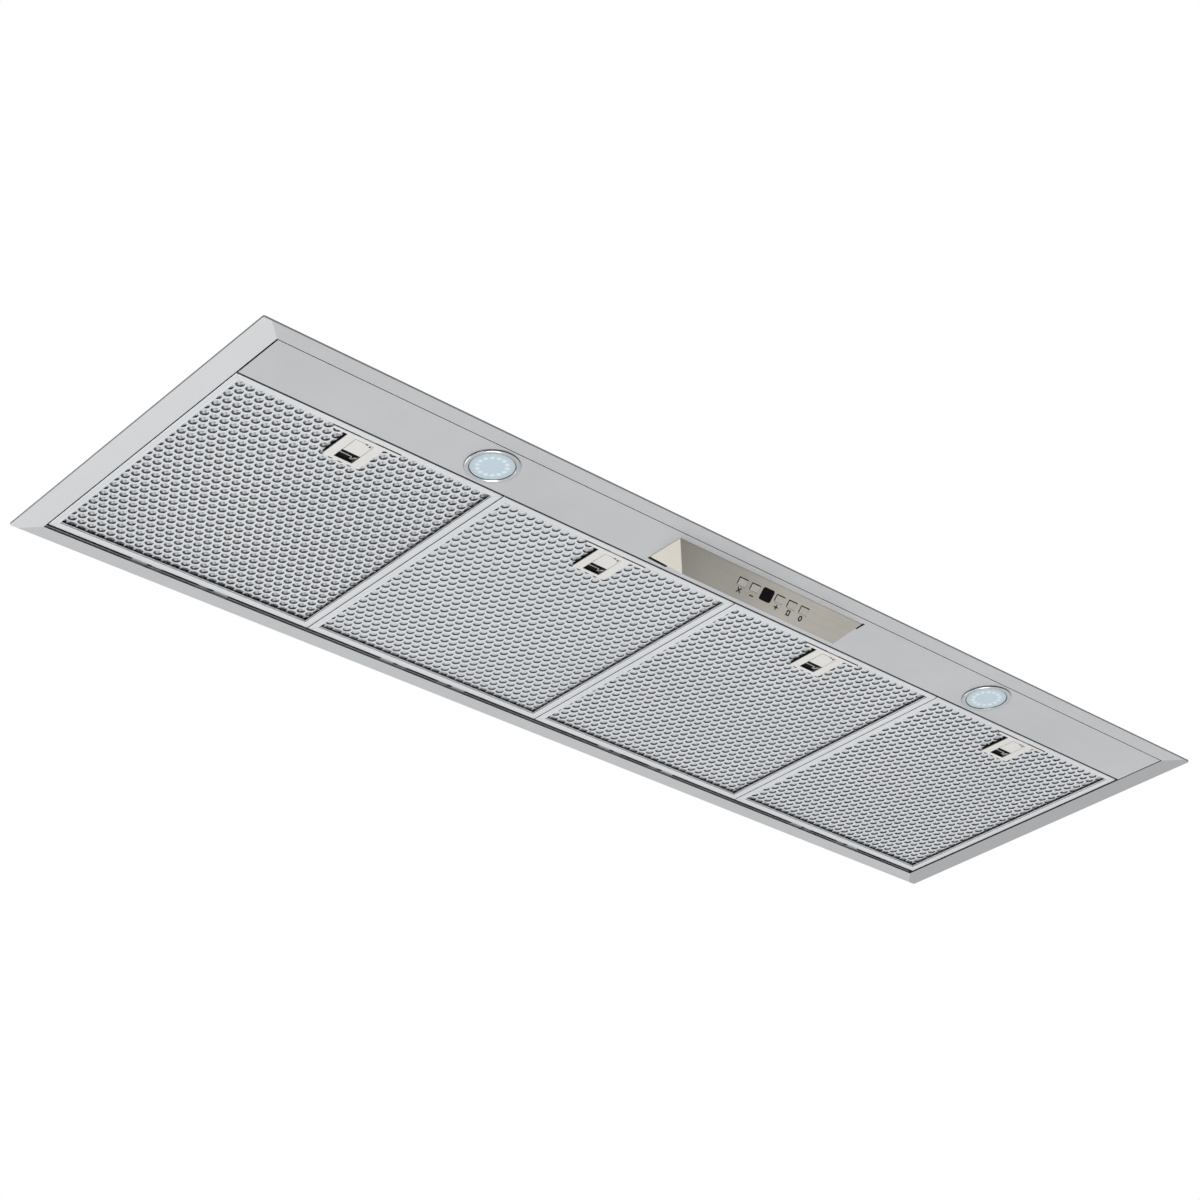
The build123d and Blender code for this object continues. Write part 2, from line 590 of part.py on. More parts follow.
INNER_D = CONSOLE_D - 2 * CONSOLE_WALL / sin(radians(CONSOLE_SLOPE))
INNER_W = CONSOLE_W - 2 * CONSOLE_WALL / sin(radians(CONSOLE_SLOPE))
outer_hip = hip(CONSOLE_W, CONSOLE_D, CONSOLE_H, UNDERSIDE)
inner_hip = hip(INNER_W, INNER_D, CONSOLE_H * INNER_D / CONSOLE_D, UNDERSIDE)
POST_X = BOARD_W / 2 - BOARD_POST_INSET
with BuildPart() as console_housing:
    add(outer_hip)
    with BuildSketch(Plane.XY.offset(UNDERSIDE)):
        with Locations((0, DECK_Y)):
            Rectangle(CONSOLE_W, CONSOLE_D)
    extrude(amount=SHEET)
    with BuildSketch(Plane.XY.offset(DECK_TOP)):
        with Locations((0, DECK_Y)):
            Rectangle(CONSOLE_W + 2 * CONSOLE_LIP, CONSOLE_D + 2 * CONSOLE_LIP)
    extrude(amount=SHEET)
    add(inner_hip, mode=Mode.SUBTRACT)
    with BuildSketch(Plane.XY.offset(UNDERSIDE)):
        with Locations((0, DECK_Y)):
            Rectangle(INNER_W, INNER_D)
    extrude(amount=2 * SHEET, mode=Mode.SUBTRACT)
    with BuildSketch(CONSOLE_FACE.offset(-CONSOLE_WALL)):
        with Locations((0, -BOARD_DOWN)):
            with GridLocations(2 * POST_X, 1, 2, 1):
                Circle(BOARD_POST_D / 2)
    extrude(amount=-(BOARD_DEPTH - CONSOLE_WALL))
    with BuildSketch(CONSOLE_FACE):
        with Locations((0, BUTTON_UP - 1)):
            RectangleRounded(DISPLAY_W + 2 * DISPLAY_FIT, DISPLAY_H + 2 * DISPLAY_FIT, DISPLAY_CORNER_R)
        with Locations(*[(x, BUTTON_UP) for x in BUTTON_XS]):
            Rectangle(BUTTON_W + 2 * BUTTON_FIT, BUTTON_H + 2 * BUTTON_FIT)
    extrude(amount=-2 * CONSOLE_WALL, mode=Mode.SUBTRACT)
save(console_housing, "console_housing")

with BuildPart() as display_window:
    with BuildSketch(CONSOLE_FACE.offset(DISPLAY_PROUD)):
        with Locations((0, BUTTON_UP - 1)):
            RectangleRounded(DISPLAY_W, DISPLAY_H, DISPLAY_CORNER_R)
    extrude(amount=-(DISPLAY_PROUD + BOARD_DEPTH))
save(display_window, "display_window")

with BuildPart() as button_board:
    with BuildSketch(CONSOLE_FACE.offset(-BOARD_DEPTH)):
        with Locations((0, -BOARD_DOWN)):
            Rectangle(BOARD_W, BOARD_H)
    extrude(amount=-BOARD_T)
    with BuildSketch(CONSOLE_FACE.offset(-BOARD_DEPTH)):
        with Locations(*[(x, BUTTON_UP) for x in BUTTON_XS]):
            Rectangle(SWITCH_SIZE, SWITCH_SIZE)
    extrude(amount=SWITCH_H)
save(button_board, "button_board")

COLLAR_TOP = CONSOLE_WALL + BUTTON_FIT
STEM_END = BOARD_DEPTH - SWITCH_H - BUTTON_TRAVEL - BUTTON_FIT
for number, x in enumerate(BUTTON_XS, start=1):
    with BuildPart() as button:
        with BuildSketch(CONSOLE_FACE.offset(BUTTON_PROUD)):
            with Locations((x, BUTTON_UP)):
                Rectangle(BUTTON_W, BUTTON_H)
        extrude(amount=-(BUTTON_PROUD + COLLAR_TOP))
        chamfer(button.faces().sort_by(FACE_OUTWARD)[-1].edges(), BUTTON_PROUD / 2)
        with BuildSketch(CONSOLE_FACE.offset(-COLLAR_TOP)):
            with Locations((x, BUTTON_UP)):
                Rectangle(BUTTON_W + 2 * BUTTON_COLLAR, BUTTON_H + 2 * BUTTON_COLLAR)
        extrude(amount=-BUTTON_COLLAR_T)
        with BuildSketch(CONSOLE_FACE.offset(-COLLAR_TOP)):
            with Locations((x, BUTTON_UP)):
                Circle(BUTTON_STEM_D / 2)
        extrude(amount=-(STEM_END - COLLAR_TOP))
    save(button, f"button_{number}")

# ================================================================ blower box
# One moulded box holds both scrolls and the outlet chamber between them.


def blower_outline(inset):
    """The box's plan, drawn in the current sketch and shrunk by inset."""
    with Locations((0, TOP_Y)):
        with GridLocations(2 * BLOWER_OFFSET, 1, 2, 1):
            Circle(SCROLL_R - inset)
        Rectangle(CHAMBER_W - 2 * inset, CHAMBER_D - 2 * inset)
    with Locations((0, TOP_Y + SCROLL_R - CHANNEL_D / 2)):
        Rectangle(2 * BLOWER_OFFSET, CHANNEL_D - 2 * inset)


with BuildPart() as blower_housing:
    with BuildSketch(Plane.XY.offset(BLOWER_Z)):
        blower_outline(0)
    extrude(amount=BLOWER_H)
    with BuildSketch(Plane.XY.offset(CEILING)):
        with Locations((0, TOP_Y)):
            with GridLocations(2 * FOOT_X, 2 * FOOT_Y, 2, 2):
                Circle(BLOWER_FOOT / 2 + BLOWER_WALL)
    extrude(amount=-2 * BLOWER_WALL)
    with BuildSketch(Plane.XY.offset(BLOWER_Z)):
        blower_outline(BLOWER_WALL)
    extrude(amount=BLOWER_H, mode=Mode.SUBTRACT)
    with BuildSketch(Plane.XY.offset(CEILING)):
        with Locations((0, TOP_Y)):
            with GridLocations(2 * FOOT_X, 2 * FOOT_Y, 2, 2):
                Circle(SCREW_HOLE_D / 2)
    extrude(amount=-2 * BLOWER_WALL, mode=Mode.SUBTRACT)
save(blower_housing, "blower_housing")

with BuildPart() as blower_cover:
    with BuildSketch(Plane.XY.offset(BLOWER_Z - BLOWER_WALL)):
        blower_outline(0)
        with Locations((0, TOP_Y)):
            with GridLocations(2 * BLOWER_OFFSET, 1, 2, 1):
                Circle(INLET_D / 2, mode=Mode.SUBTRACT)
    extrude(amount=BLOWER_WALL)
    with BuildSketch(Plane.XY.offset(BLOWER_Z)):
        with Locations((0, TOP_Y)):
            with GridLocations(2 * BLOWER_OFFSET, 1, 2, 1):
                Circle(INLET_D / 2 + BLOWER_WALL)
                Circle(INLET_D / 2, mode=Mode.SUBTRACT)
    extrude(amount=INLET_LIP)
save(blower_cover, "blower_cover")

# Finger guards: concentric rings on four spokes, one under each inlet.
GUARD_Z = BLOWER_Z - BLOWER_WALL - GUARD_T
GUARD_STEP = (INLET_D / 2 + GUARD_WIRE) / GUARD_RINGS
with BuildPart() as inlet_guards:
    with BuildSketch(Plane.XY.offset(GUARD_Z)):
        with Locations((0, TOP_Y)):
            with GridLocations(2 * BLOWER_OFFSET, 1, 2, 1):
                for ring in range(GUARD_RINGS, 0, -1):
                    Circle(ring * GUARD_STEP + GUARD_WIRE / 2)
                    Circle(ring * GUARD_STEP - GUARD_WIRE / 2, mode=Mode.SUBTRACT)
                Rectangle(2 * GUARD_RINGS * GUARD_STEP, GUARD_WIRE)
                Rectangle(GUARD_WIRE, 2 * GUARD_RINGS * GUARD_STEP)
    extrude(amount=GUARD_T)
save(inlet_guards, "inlet_guards")

# ================================================================ motors and wheels
SHAFT_TOP = CEILING - MOTOR_H / 3
with BuildPart() as motor:
    with BuildSketch(Plane.XY.offset(CEILING)):
        Circle(MOTOR_D / 2)
    extrude(amount=-MOTOR_H)
    fillet(motor.faces().sort_by(Axis.Z)[0].edges(), 3.0)
    with BuildSketch(Plane.XY.offset(CEILING - MOTOR_H)):
        Circle(SHAFT_D / 2 + SHAFT_FIT)
    extrude(amount=SHAFT_TOP - CEILING + MOTOR_H + SHAFT_FIT, mode=Mode.SUBTRACT)

# Forward-curved wheel: a plate carries a ring of blades, tied together by a band at the inlet.
BLADE_MID_R = WHEEL_R - BLADE_CHORD / 2
BLADE_DX = BLADE_CHORD / 2 * cos(radians(BLADE_ANGLE))
BLADE_DY = BLADE_CHORD / 2 * sin(radians(BLADE_ANGLE))
BLADE_SAG = BLADE_CHORD / 8
blade_arc = ThreePointArc((-BLADE_DX, -BLADE_DY), (-BLADE_SAG / 2, BLADE_SAG), (BLADE_DX, BLADE_DY))
with BuildPart() as wheel:
    with BuildSketch(Plane.XY.offset(WHEEL_TOP)):
        Circle(WHEEL_R)
    extrude(amount=-WHEEL_PLATE_T)
    with BuildSketch(Plane.XY.offset(WHEEL_TOP - WHEEL_PLATE_T)):
        with PolarLocations(BLADE_MID_R, BLADE_COUNT):
            SlotArc(arc=blade_arc, height=BLADE_T)
    extrude(amount=-WHEEL_H)
    with BuildSketch(Plane.XY.offset(WHEEL_TOP - WHEEL_PLATE_T - WHEEL_H)):
        Circle(WHEEL_R + WHEEL_RING_W / 2)
        Circle(WHEEL_R - WHEEL_RING_W / 2, mode=Mode.SUBTRACT)
    extrude(amount=WHEEL_RING_W)
    with BuildSketch(Plane.XY.offset(WHEEL_TOP)):
        Circle(HUB_D / 2)
    extrude(amount=-HUB_H)
    with BuildSketch(Plane.XY.offset(WHEEL_TOP)):
        Circle(SHAFT_D / 2)
    extrude(amount=SHAFT_TOP - WHEEL_TOP)

for side, x in (("left", -BLOWER_OFFSET), ("right", BLOWER_OFFSET)):
    for piece_name, piece in (("motor", motor), ("wheel", wheel)):
        with BuildPart() as placed:
            with Locations((x, TOP_Y, 0)):
                add(piece.part, clean=False)
        save(placed, f"{piece_name}_{side}")

# ================================================================ duct collar and flaps
FLAP_R = COLLAR_R - SHEET - FLAP_EDGE_GAP
FLAP_PIN_LENGTH = 2 * (FLAP_EAR_Y + FLAP_EAR_T + FLAP_NOTCH)
EAR_X = FLAP_AXIS + FLAP_PIN_D
with BuildPart() as duct_collar:
    with BuildSketch(Plane.XY.offset(PLENUM_H)):
        Circle(COLLAR_R + COLLAR_FLANGE_W)
        Circle(COLLAR_R - SHEET, mode=Mode.SUBTRACT)
        with PolarLocations(COLLAR_R + COLLAR_FLANGE_W / 2, COLLAR_SCREWS):
            Circle(SCREW_HOLE_D / 2, mode=Mode.SUBTRACT)
    extrude(amount=COLLAR_FLANGE_T)
    with BuildSketch(Plane.XY.offset(PLENUM_H)):
        Circle(COLLAR_R)
        Circle(COLLAR_R - SHEET, mode=Mode.SUBTRACT)
    extrude(amount=COLLAR_H)
    with BuildSketch(Plane.XY.offset(FLAP_Z - 2 * FLAP_PIN_D)):
        Rectangle(FLAP_BAR_W, 2 * COLLAR_R - SHEET)
        with GridLocations(1, 2 * FLAP_EAR_Y, 1, 2):
            Rectangle(2 * EAR_X, FLAP_EAR_T)
    extrude(amount=3 * FLAP_PIN_D)
    with BuildSketch(Plane.XZ):
        with Locations((0, FLAP_Z)):
            with GridLocations(2 * FLAP_AXIS, 1, 2, 1):
                Circle(FLAP_PIN_D / 2 + FLAP_PIN_FIT)
    extrude(amount=FLAP_EAR_Y + FLAP_EAR_T, both=True, mode=Mode.SUBTRACT)
    with BuildSketch(Plane.XY.offset(FLAP_Z - FLAP_T / 2 - FLAP_STOP_GAP)):
        with PolarLocations(COLLAR_R - SHEET - STOP_LUG / 2, 4, start_angle=45):
            Rectangle(STOP_LUG + SHEET, STOP_LUG)
    extrude(amount=-STOP_LUG)

# Each flap is half a disc on a pin that turns in the two ears of the cross bar.
with BuildPart() as flap:
    with BuildSketch(Plane.XY.offset(FLAP_Z - FLAP_T / 2)):
        Circle(FLAP_R)
        with Locations((FLAP_AXIS - FLAP_R, 0)):
            Rectangle(2 * FLAP_R, 2 * FLAP_R, mode=Mode.SUBTRACT)
        with Locations((EAR_X, FLAP_EAR_Y), (EAR_X, -FLAP_EAR_Y)):
            Rectangle(2 * FLAP_PIN_D + 2 * FLAP_NOTCH, FLAP_EAR_T + 2 * FLAP_NOTCH, mode=Mode.SUBTRACT)
    extrude(amount=FLAP_T)
    with BuildSketch(Plane.XZ):
        with Locations((FLAP_AXIS, FLAP_Z)):
            Circle(FLAP_PIN_D / 2)
    extrude(amount=FLAP_PIN_LENGTH / 2, both=True)

with BuildPart() as placed:
    with Locations((0, TOP_Y, 0)):
        add(duct_collar.part)
save(placed, "duct_collar")
for side, turn in (("left", 180), ("right", 0)):
    with BuildPart() as placed:
        with Locations(Location((0, TOP_Y, 0), (0, 0, turn))):
            add(flap.part)
    save(placed, f"flap_{side}")

# ================================================================ control box
with BuildPart() as control_box:
    with BuildSketch(Plane.XY.offset(PLENUM_H)):
        with Locations((BOX_X, BOX_Y)):
            Rectangle(BOX_W, BOX_D)
    extrude(amount=BOX_H)
    with BuildSketch(Plane.XY.offset(PLENUM_H + BOX_WALL)):
        with Locations((BOX_X, BOX_Y)):
            Rectangle(BOX_W - 2 * BOX_WALL, BOX_D - 2 * BOX_WALL)
    extrude(amount=BOX_H, mode=Mode.SUBTRACT)
    with BuildSketch(Plane.XY.offset(PLENUM_H)):
        with Locations((BOX_X, BOX_Y)):
            with GridLocations(BOX_W - BOX_POST_D, BOX_D - BOX_POST_D, 2, 2):
                Circle(BOX_POST_D / 2)
    extrude(amount=BOX_H)
    with BuildSketch(Plane.XY.offset(PLENUM_H + BOX_H)):
        with Locations((BOX_X, BOX_Y)):
            with GridLocations(BOX_W - BOX_POST_D, BOX_D - BOX_POST_D, 2, 2):
                Circle(SCREW_HOLE_D / 2)
    extrude(amount=-SCREW_LENGTH, mode=Mode.SUBTRACT)
    with BuildSketch(Plane.XY.offset(PLENUM_H)):
        with Locations((BOX_X, BOX_Y)):
            Circle(GLAND_D / 2)
    extrude(amount=BOX_WALL, mode=Mode.SUBTRACT)
    with BuildSketch(Plane.YZ.offset(BOX_X + BOX_W / 2)):
        with Locations((BOX_Y, PLENUM_H + BOX_H / 2)):
            Circle(GLAND_D / 2)
    extrude(amount=-BOX_WALL, mode=Mode.SUBTRACT)
save(control_box, "control_box")

with BuildPart() as control_box_lid:
    with BuildSketch(Plane.XY.offset(PLENUM_H + BOX_H)):
        with Locations((BOX_X, BOX_Y)):
            RectangleRounded(BOX_W + 2 * BOX_WALL, BOX_D + 2 * BOX_WALL, BOX_WALL)
            with GridLocations(BOX_W - BOX_POST_D, BOX_D - BOX_POST_D, 2, 2):
                Circle(SCREW_HOLE_D / 2, mode=Mode.SUBTRACT)
    extrude(amount=SHEET)
save(control_box_lid, "control_box_lid")

with BuildPart() as control_board:
    with BuildSketch(Plane.XY.offset(PLENUM_H + BOX_WALL + BOARD_LIFT)):
        with Locations((BOX_X + BOX_W / 8, BOX_Y)):
            Rectangle(BOX_W / 2, BOX_D - 4 * BOX_POST_D / 2)
    extrude(amount=BOARD_T)
    with BuildSketch(Plane.XY.offset(PLENUM_H + BOX_WALL)):
        with Locations((BOX_X + BOX_W / 8, BOX_Y)):
            with GridLocations(BOX_W / 2 - BOARD_POST_D, BOX_D / 2, 2, 2):
                Circle(BOARD_POST_D / 2)
    extrude(amount=BOARD_LIFT)
    with BuildSketch(Plane.XY.offset(PLENUM_H + BOX_WALL + BOARD_LIFT + BOARD_T)):
        with Locations((BOX_X + BOX_W / 8, BOX_Y)):
            with GridLocations(RELAY_SIZE * 1.5, RELAY_SIZE * 1.5, 3, 2):
                Rectangle(RELAY_SIZE, RELAY_SIZE * 0.75)
    extrude(amount=RELAY_H)
save(control_board, "control_board")

GLAND_PLANE = Plane.YZ.offset(BOX_X + BOX_W / 2)
with BuildPart() as cable_gland:
    with BuildSketch(GLAND_PLANE):
        with Locations((BOX_Y, PLENUM_H + BOX_H / 2)):
            RegularPolygon(GLAND_HEX / 2, 6)
    extrude(amount=GLAND_HEX_T)
    with BuildSketch(GLAND_PLANE.offset(GLAND_HEX_T)):
        with Locations((BOX_Y, PLENUM_H + BOX_H / 2)):
            Circle(GLAND_D / 2)
    extrude(amount=GLAND_LENGTH - GLAND_HEX_T)
    fillet(cable_gland.faces().sort_by(Axis.X)[-1].edges(), 2.5)
    with BuildSketch(GLAND_PLANE):
        with Locations((BOX_Y, PLENUM_H + BOX_H / 2)):
            Circle(GLAND_D / 2 - SHAFT_FIT)
    extrude(amount=-3 * BOX_WALL)
    with BuildSketch(GLAND_PLANE.offset(GLAND_LENGTH)):
        with Locations((BOX_Y, PLENUM_H + BOX_H / 2)):
            Circle(GLAND_BORE / 2)
    extrude(amount=-(GLAND_LENGTH + 3 * BOX_WALL), mode=Mode.SUBTRACT)
save(cable_gland, "cable_gland")

# ================================================================ fasteners
# Pan-head screw with a cross recess, drawn with the underside of its head at Z = 0.
with BuildPart() as screw:
    with BuildSketch():
        Circle(SCREW_HEAD_D / 2)
    extrude(amount=SCREW_HEAD_H)
    fillet(screw.faces().sort_by(Axis.Z)[-1].edges(), SCREW_HEAD_H / 3)
    with BuildSketch():
        Circle(SCREW_D / 2)
    extrude(amount=-(SCREW_LENGTH - SCREW_HEAD_H))
    with BuildSketch(Plane.XY.offset(SCREW_HEAD_H)):
        Rectangle(SCREW_HEAD_D / 2, SCREW_DRIVE / 2)
        Rectangle(SCREW_DRIVE / 2, SCREW_HEAD_D / 2)
    extrude(amount=-SCREW_HEAD_H / 2, mode=Mode.SUBTRACT)

with BuildPart() as top_screws:
    with Locations((0, TOP_Y, PLENUM_H + COLLAR_FLANGE_T)):
        with PolarLocations(COLLAR_R + COLLAR_FLANGE_W / 2, COLLAR_SCREWS):
            add(screw.part)
    with Locations((0, TOP_Y, PLENUM_H)):
        with GridLocations(2 * FOOT_X, 2 * FOOT_Y, 2, 2):
            add(screw.part)
    with Locations((BOX_X, BOX_Y, PLENUM_H + BOX_H + SHEET)):
        with GridLocations(BOX_W - BOX_POST_D, BOX_D - BOX_POST_D, 2, 2):
            add(screw.part)
save(top_screws, "top_screws")

# Blind rivets that join the plenum's skirt to the upstand in front and behind.
with BuildPart() as skirt_rivets:
    for side in (-1, 1):
        rivet_plane = Plane(origin=(0, side * SKIRT_D / 2, FIXING_Z), x_dir=(1, 0, 0), z_dir=(0, side, 0))
        with BuildSketch(rivet_plane):
            with GridLocations(RIVET_PITCH, 1, RIVET_COUNT, 1):
                Circle(RIVET_HEAD_D / 2)
        extrude(amount=RIVET_HEAD_H)
        with BuildSketch(rivet_plane):
            with GridLocations(RIVET_PITCH, 1, RIVET_COUNT, 1):
                Circle(RIVET_D / 2)
        extrude(amount=-2 * SHEET)
save(skirt_rivets, "skirt_rivets")
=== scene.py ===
# %% [markdown]
# # A range hood insert, dressed in Blender
# The hood is let into the underside of a cabinet, so everything that the cook sees faces down: a steel
# flange, a control strip with two lamps and a console, and four perforated grease filters. The CAD
# model gives every place and size in metres, with the origin in the middle of the cut-out and Z up.
# Blender adds what CAD leaves out: rolled edges, pierced sheet, frosted glass and brushed steel.

import json
import math
from contextlib import contextmanager
from functools import partial

import bmesh
import bpy
from mathutils import Matrix, Vector


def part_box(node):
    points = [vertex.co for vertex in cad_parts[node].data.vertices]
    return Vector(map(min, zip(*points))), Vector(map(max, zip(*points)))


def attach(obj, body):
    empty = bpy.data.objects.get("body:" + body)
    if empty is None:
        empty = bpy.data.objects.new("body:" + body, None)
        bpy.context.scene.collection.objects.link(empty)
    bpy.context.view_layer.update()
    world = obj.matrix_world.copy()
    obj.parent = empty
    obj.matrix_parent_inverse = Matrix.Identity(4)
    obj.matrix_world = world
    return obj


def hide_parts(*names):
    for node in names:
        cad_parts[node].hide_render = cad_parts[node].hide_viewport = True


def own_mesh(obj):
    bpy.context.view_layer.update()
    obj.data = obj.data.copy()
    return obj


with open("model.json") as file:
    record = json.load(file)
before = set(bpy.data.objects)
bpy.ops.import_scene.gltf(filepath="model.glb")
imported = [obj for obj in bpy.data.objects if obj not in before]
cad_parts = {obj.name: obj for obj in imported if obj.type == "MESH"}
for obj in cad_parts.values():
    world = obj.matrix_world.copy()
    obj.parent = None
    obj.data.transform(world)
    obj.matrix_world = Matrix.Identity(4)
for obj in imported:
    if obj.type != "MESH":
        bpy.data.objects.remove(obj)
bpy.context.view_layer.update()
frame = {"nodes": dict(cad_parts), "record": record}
scene = bpy.context.scene
MM = 0.001

# %% [markdown]
# ## Camera
# The photo was taken from the front left, below the hood. Its four flange corners fix the camera: a
# rectangle three times as wide as deep only fits them from one place. The camera's own axes are given
# as rows and turned into its matrix, which avoids any doubt about the order of the rotations.

# %% Place the camera
CAMERA_PLACE = Vector((-1.47345, -1.58017, -1.25610))
CAMERA_RIGHT = Vector((0.751887, -0.659151, -0.013654))
CAMERA_UP = Vector((-0.334441, -0.399178, 0.853702))
CAMERA_BACK = Vector((-0.568169, -0.637320, -0.520583))
FOCAL_LENGTH = 75.788  # millimetres, on a sensor 36 mm wide

camera_data = bpy.data.cameras.new("camera")
camera_data.lens = FOCAL_LENGTH
camera_data.sensor_width = 36.0
camera_data.clip_end = 100.0
camera = bpy.data.objects.new("camera", camera_data)
scene.collection.objects.link(camera)
turn = Matrix((CAMERA_RIGHT, CAMERA_UP, CAMERA_BACK)).transposed().to_4x4()
camera.matrix_world = Matrix.Translation(CAMERA_PLACE) @ turn
scene.camera = camera
print("camera looks up by", round(math.degrees(math.asin(-CAMERA_BACK.z)), 1), "degrees")

# %% [markdown]
# ## Studio
# Steel shows what is around it more than its own colour. The floor lies far below, where the underside
# mirrors it, and large soft lamps just above the floor make the mirrored light uneven: brightest
# towards the left, as in the photo. The walls of the studio are dark, so that edges and chrome, which
# mirror the horizon, get dark outlines; the finishes darken them further with painted shade. The
# lamps are hidden from the camera, as studio lamps are.

# %% Floor, sky and lamps
FLOOR_Z = -3.6
HALF_FLOOR = 200.0


def new_material(name):
    """A node material with its tree and its Principled shader."""
    material = bpy.data.materials.new(name)
    material.use_nodes = True
    tree = material.node_tree
    return material, tree, tree.nodes["Principled BSDF"]


def fill(tree, node, *values, **named):
    """Fills a node's inputs, in order or by name, each with an output socket to link or with a value."""
    titled = {label.replace("_", " ").title(): value for label, value in named.items()}
    for place, value in [*enumerate(values), *titled.items()]:
        if isinstance(value, bpy.types.NodeSocket):
            tree.links.new(value, node.inputs[place])
        elif value is not None:
            node.inputs[place].default_value = value
    return node


def add_node(tree, kind, *values, **named):
    """Adds a node and fills its inputs."""
    return fill(tree, tree.nodes.new(kind), *values, **named)


floor_mesh = bpy.data.meshes.new("floor")
floor_mesh.from_pydata(
    [(x * HALF_FLOOR, y * HALF_FLOOR, FLOOR_Z) for x, y in ((-1, -1), (1, -1), (1, 1), (-1, 1))],
    [], [(0, 1, 2, 3)])
floor = bpy.data.objects.new("floor", floor_mesh)
scene.collection.objects.link(floor)
floor_material, floor_tree, floor_shader = new_material("floor_paper")
fill(floor_tree, floor_shader, base_color=(0.84, 0.84, 0.84, 1), roughness=0.9)
floor.data.materials.append(floor_material)

SKY_SEEN = 1.0       # the white that the camera sees behind the object
SKY_LIGHT = 0.86     # the light from overhead
WALL_LIGHT = 0.22    # the light from the walls, round the horizon
WALL_HEIGHT = 0.34   # sine of the angle up to which the walls reach
WALL_FADE = 0.6      # share of that height at which they begin to fade
world = bpy.data.worlds.new("studio")
scene.world = world
world.use_nodes = True
sky = world.node_tree
sky.nodes.clear()
sky_place = add_node(sky, "ShaderNodeTexCoord")
sky_height = add_node(sky, "ShaderNodeSeparateXYZ", sky_place.outputs["Generated"])
sky_range = add_node(sky, "ShaderNodeMapRange", value=sky_height.outputs["Z"],
                     from_min=WALL_HEIGHT * WALL_FADE, from_max=WALL_HEIGHT,
                     to_min=WALL_LIGHT, to_max=SKY_LIGHT)
sky_dim = add_node(sky, "ShaderNodeBackground", color=(0.97, 0.985, 1.0, 1),
                   strength=sky_range.outputs["Result"])
sky_white = add_node(sky, "ShaderNodeBackground", color=(1, 1, 1, 1), strength=SKY_SEEN)
sky_path = add_node(sky, "ShaderNodeLightPath")
sky_mix = add_node(sky, "ShaderNodeMixShader", sky_path.outputs["Is Camera Ray"], sky_dim.outputs[0],
                   sky_white.outputs[0])
add_node(sky, "ShaderNodeOutputWorld", surface=sky_mix.outputs[0])
scene.view_settings.view_transform = "Standard"


def soft_lamp(name, place, width, height, radiance):
    """A rectangular lamp of an even radiance, turned to face the hood."""
    data = bpy.data.lights.new(name, "AREA")
    data.shape = "RECTANGLE"
    data.size, data.size_y = width, height
    data.energy = radiance * math.pi * width * height
    lamp = bpy.data.objects.new(name, data)
    scene.collection.objects.link(lamp)
    lamp.location = place
    lamp.rotation_euler = (-Vector(place)).to_track_quat("-Z", "Y").to_euler()
    lamp.visible_camera = False


soft_lamp("lamp_rear_left", (-2.3, 4.4, -3.3), 4.0, 3.2, 1.2)
soft_lamp("lamp_below", (-0.5, -0.6, -3.3), 1.6, 1.6, 3.0)
soft_lamp("lamp_left", (-4.2, -0.5, -1.6), 2.0, 1.6, 1.5)
soft_lamp("lamp_above", (-1.5, -2.5, 3.0), 2.0, 2.0, 2.2)

# %% [markdown]
# ## Shared effects
# Some effects come back in many finishes, so each is a node group with its own inputs: the fine lines
# that brushing leaves, the slow cloudy change of tone that handling leaves, and the small pits of cast
# or moulded parts. Four more groups only say where a point lies: on an upright face, on an end of the
# flange beyond its mitres, on the left part of a slope that faces the front, or some way into a hole.
# A group gives only masks and heights; each material does the shading itself.

# %% Helpers for node trees


def socket(tree, name, kind, direction, value=None):
    """Adds a named socket to a node group."""
    made = tree.interface.new_socket(name=name, in_out=direction, socket_type=f"NodeSocket{kind}")
    if value is not None:
        made.default_value = value


def math_node(tree, operation, first, second=None):
    """One Math node; each operand is a number or an output socket."""
    node = add_node(tree, "ShaderNodeMath", first, second)
    node.operation = operation
    return node.outputs[0]


def clamped_share(tree, amount, whole):
    """An amount as a share of a whole, held between 0 and 1."""
    share = math_node(tree, "DIVIDE", amount, whole)
    share.node.use_clamp = True
    return share


def parts(tree, vector):
    """The X, Y and Z of a vector."""
    return add_node(tree, "ShaderNodeSeparateXYZ", vector).outputs


def face_normal(tree):
    """The X, Y and Z of a face's own normal, in the object's axes."""
    geometry = tree.nodes.new("ShaderNodeNewGeometry")
    turned = add_node(tree, "ShaderNodeVectorTransform", geometry.outputs["True Normal"])
    turned.vector_type, turned.convert_from, turned.convert_to = "NORMAL", "WORLD", "OBJECT"
    return parts(tree, turned.outputs[0])


def shader_group(name, inputs, outputs=("Mask",)):
    """A shader group with the sockets at its two ends; an input without a value is a vector."""
    tree = bpy.data.node_groups.new(name, "ShaderNodeTree")
    for label, value in inputs.items():
        socket(tree, label, "Vector" if value is None else "Float", "INPUT", value)
    for label in outputs:
        socket(tree, label, "Float", "OUTPUT")
    return tree, tree.nodes.new("NodeGroupInput").outputs, tree.nodes.new("NodeGroupOutput").inputs


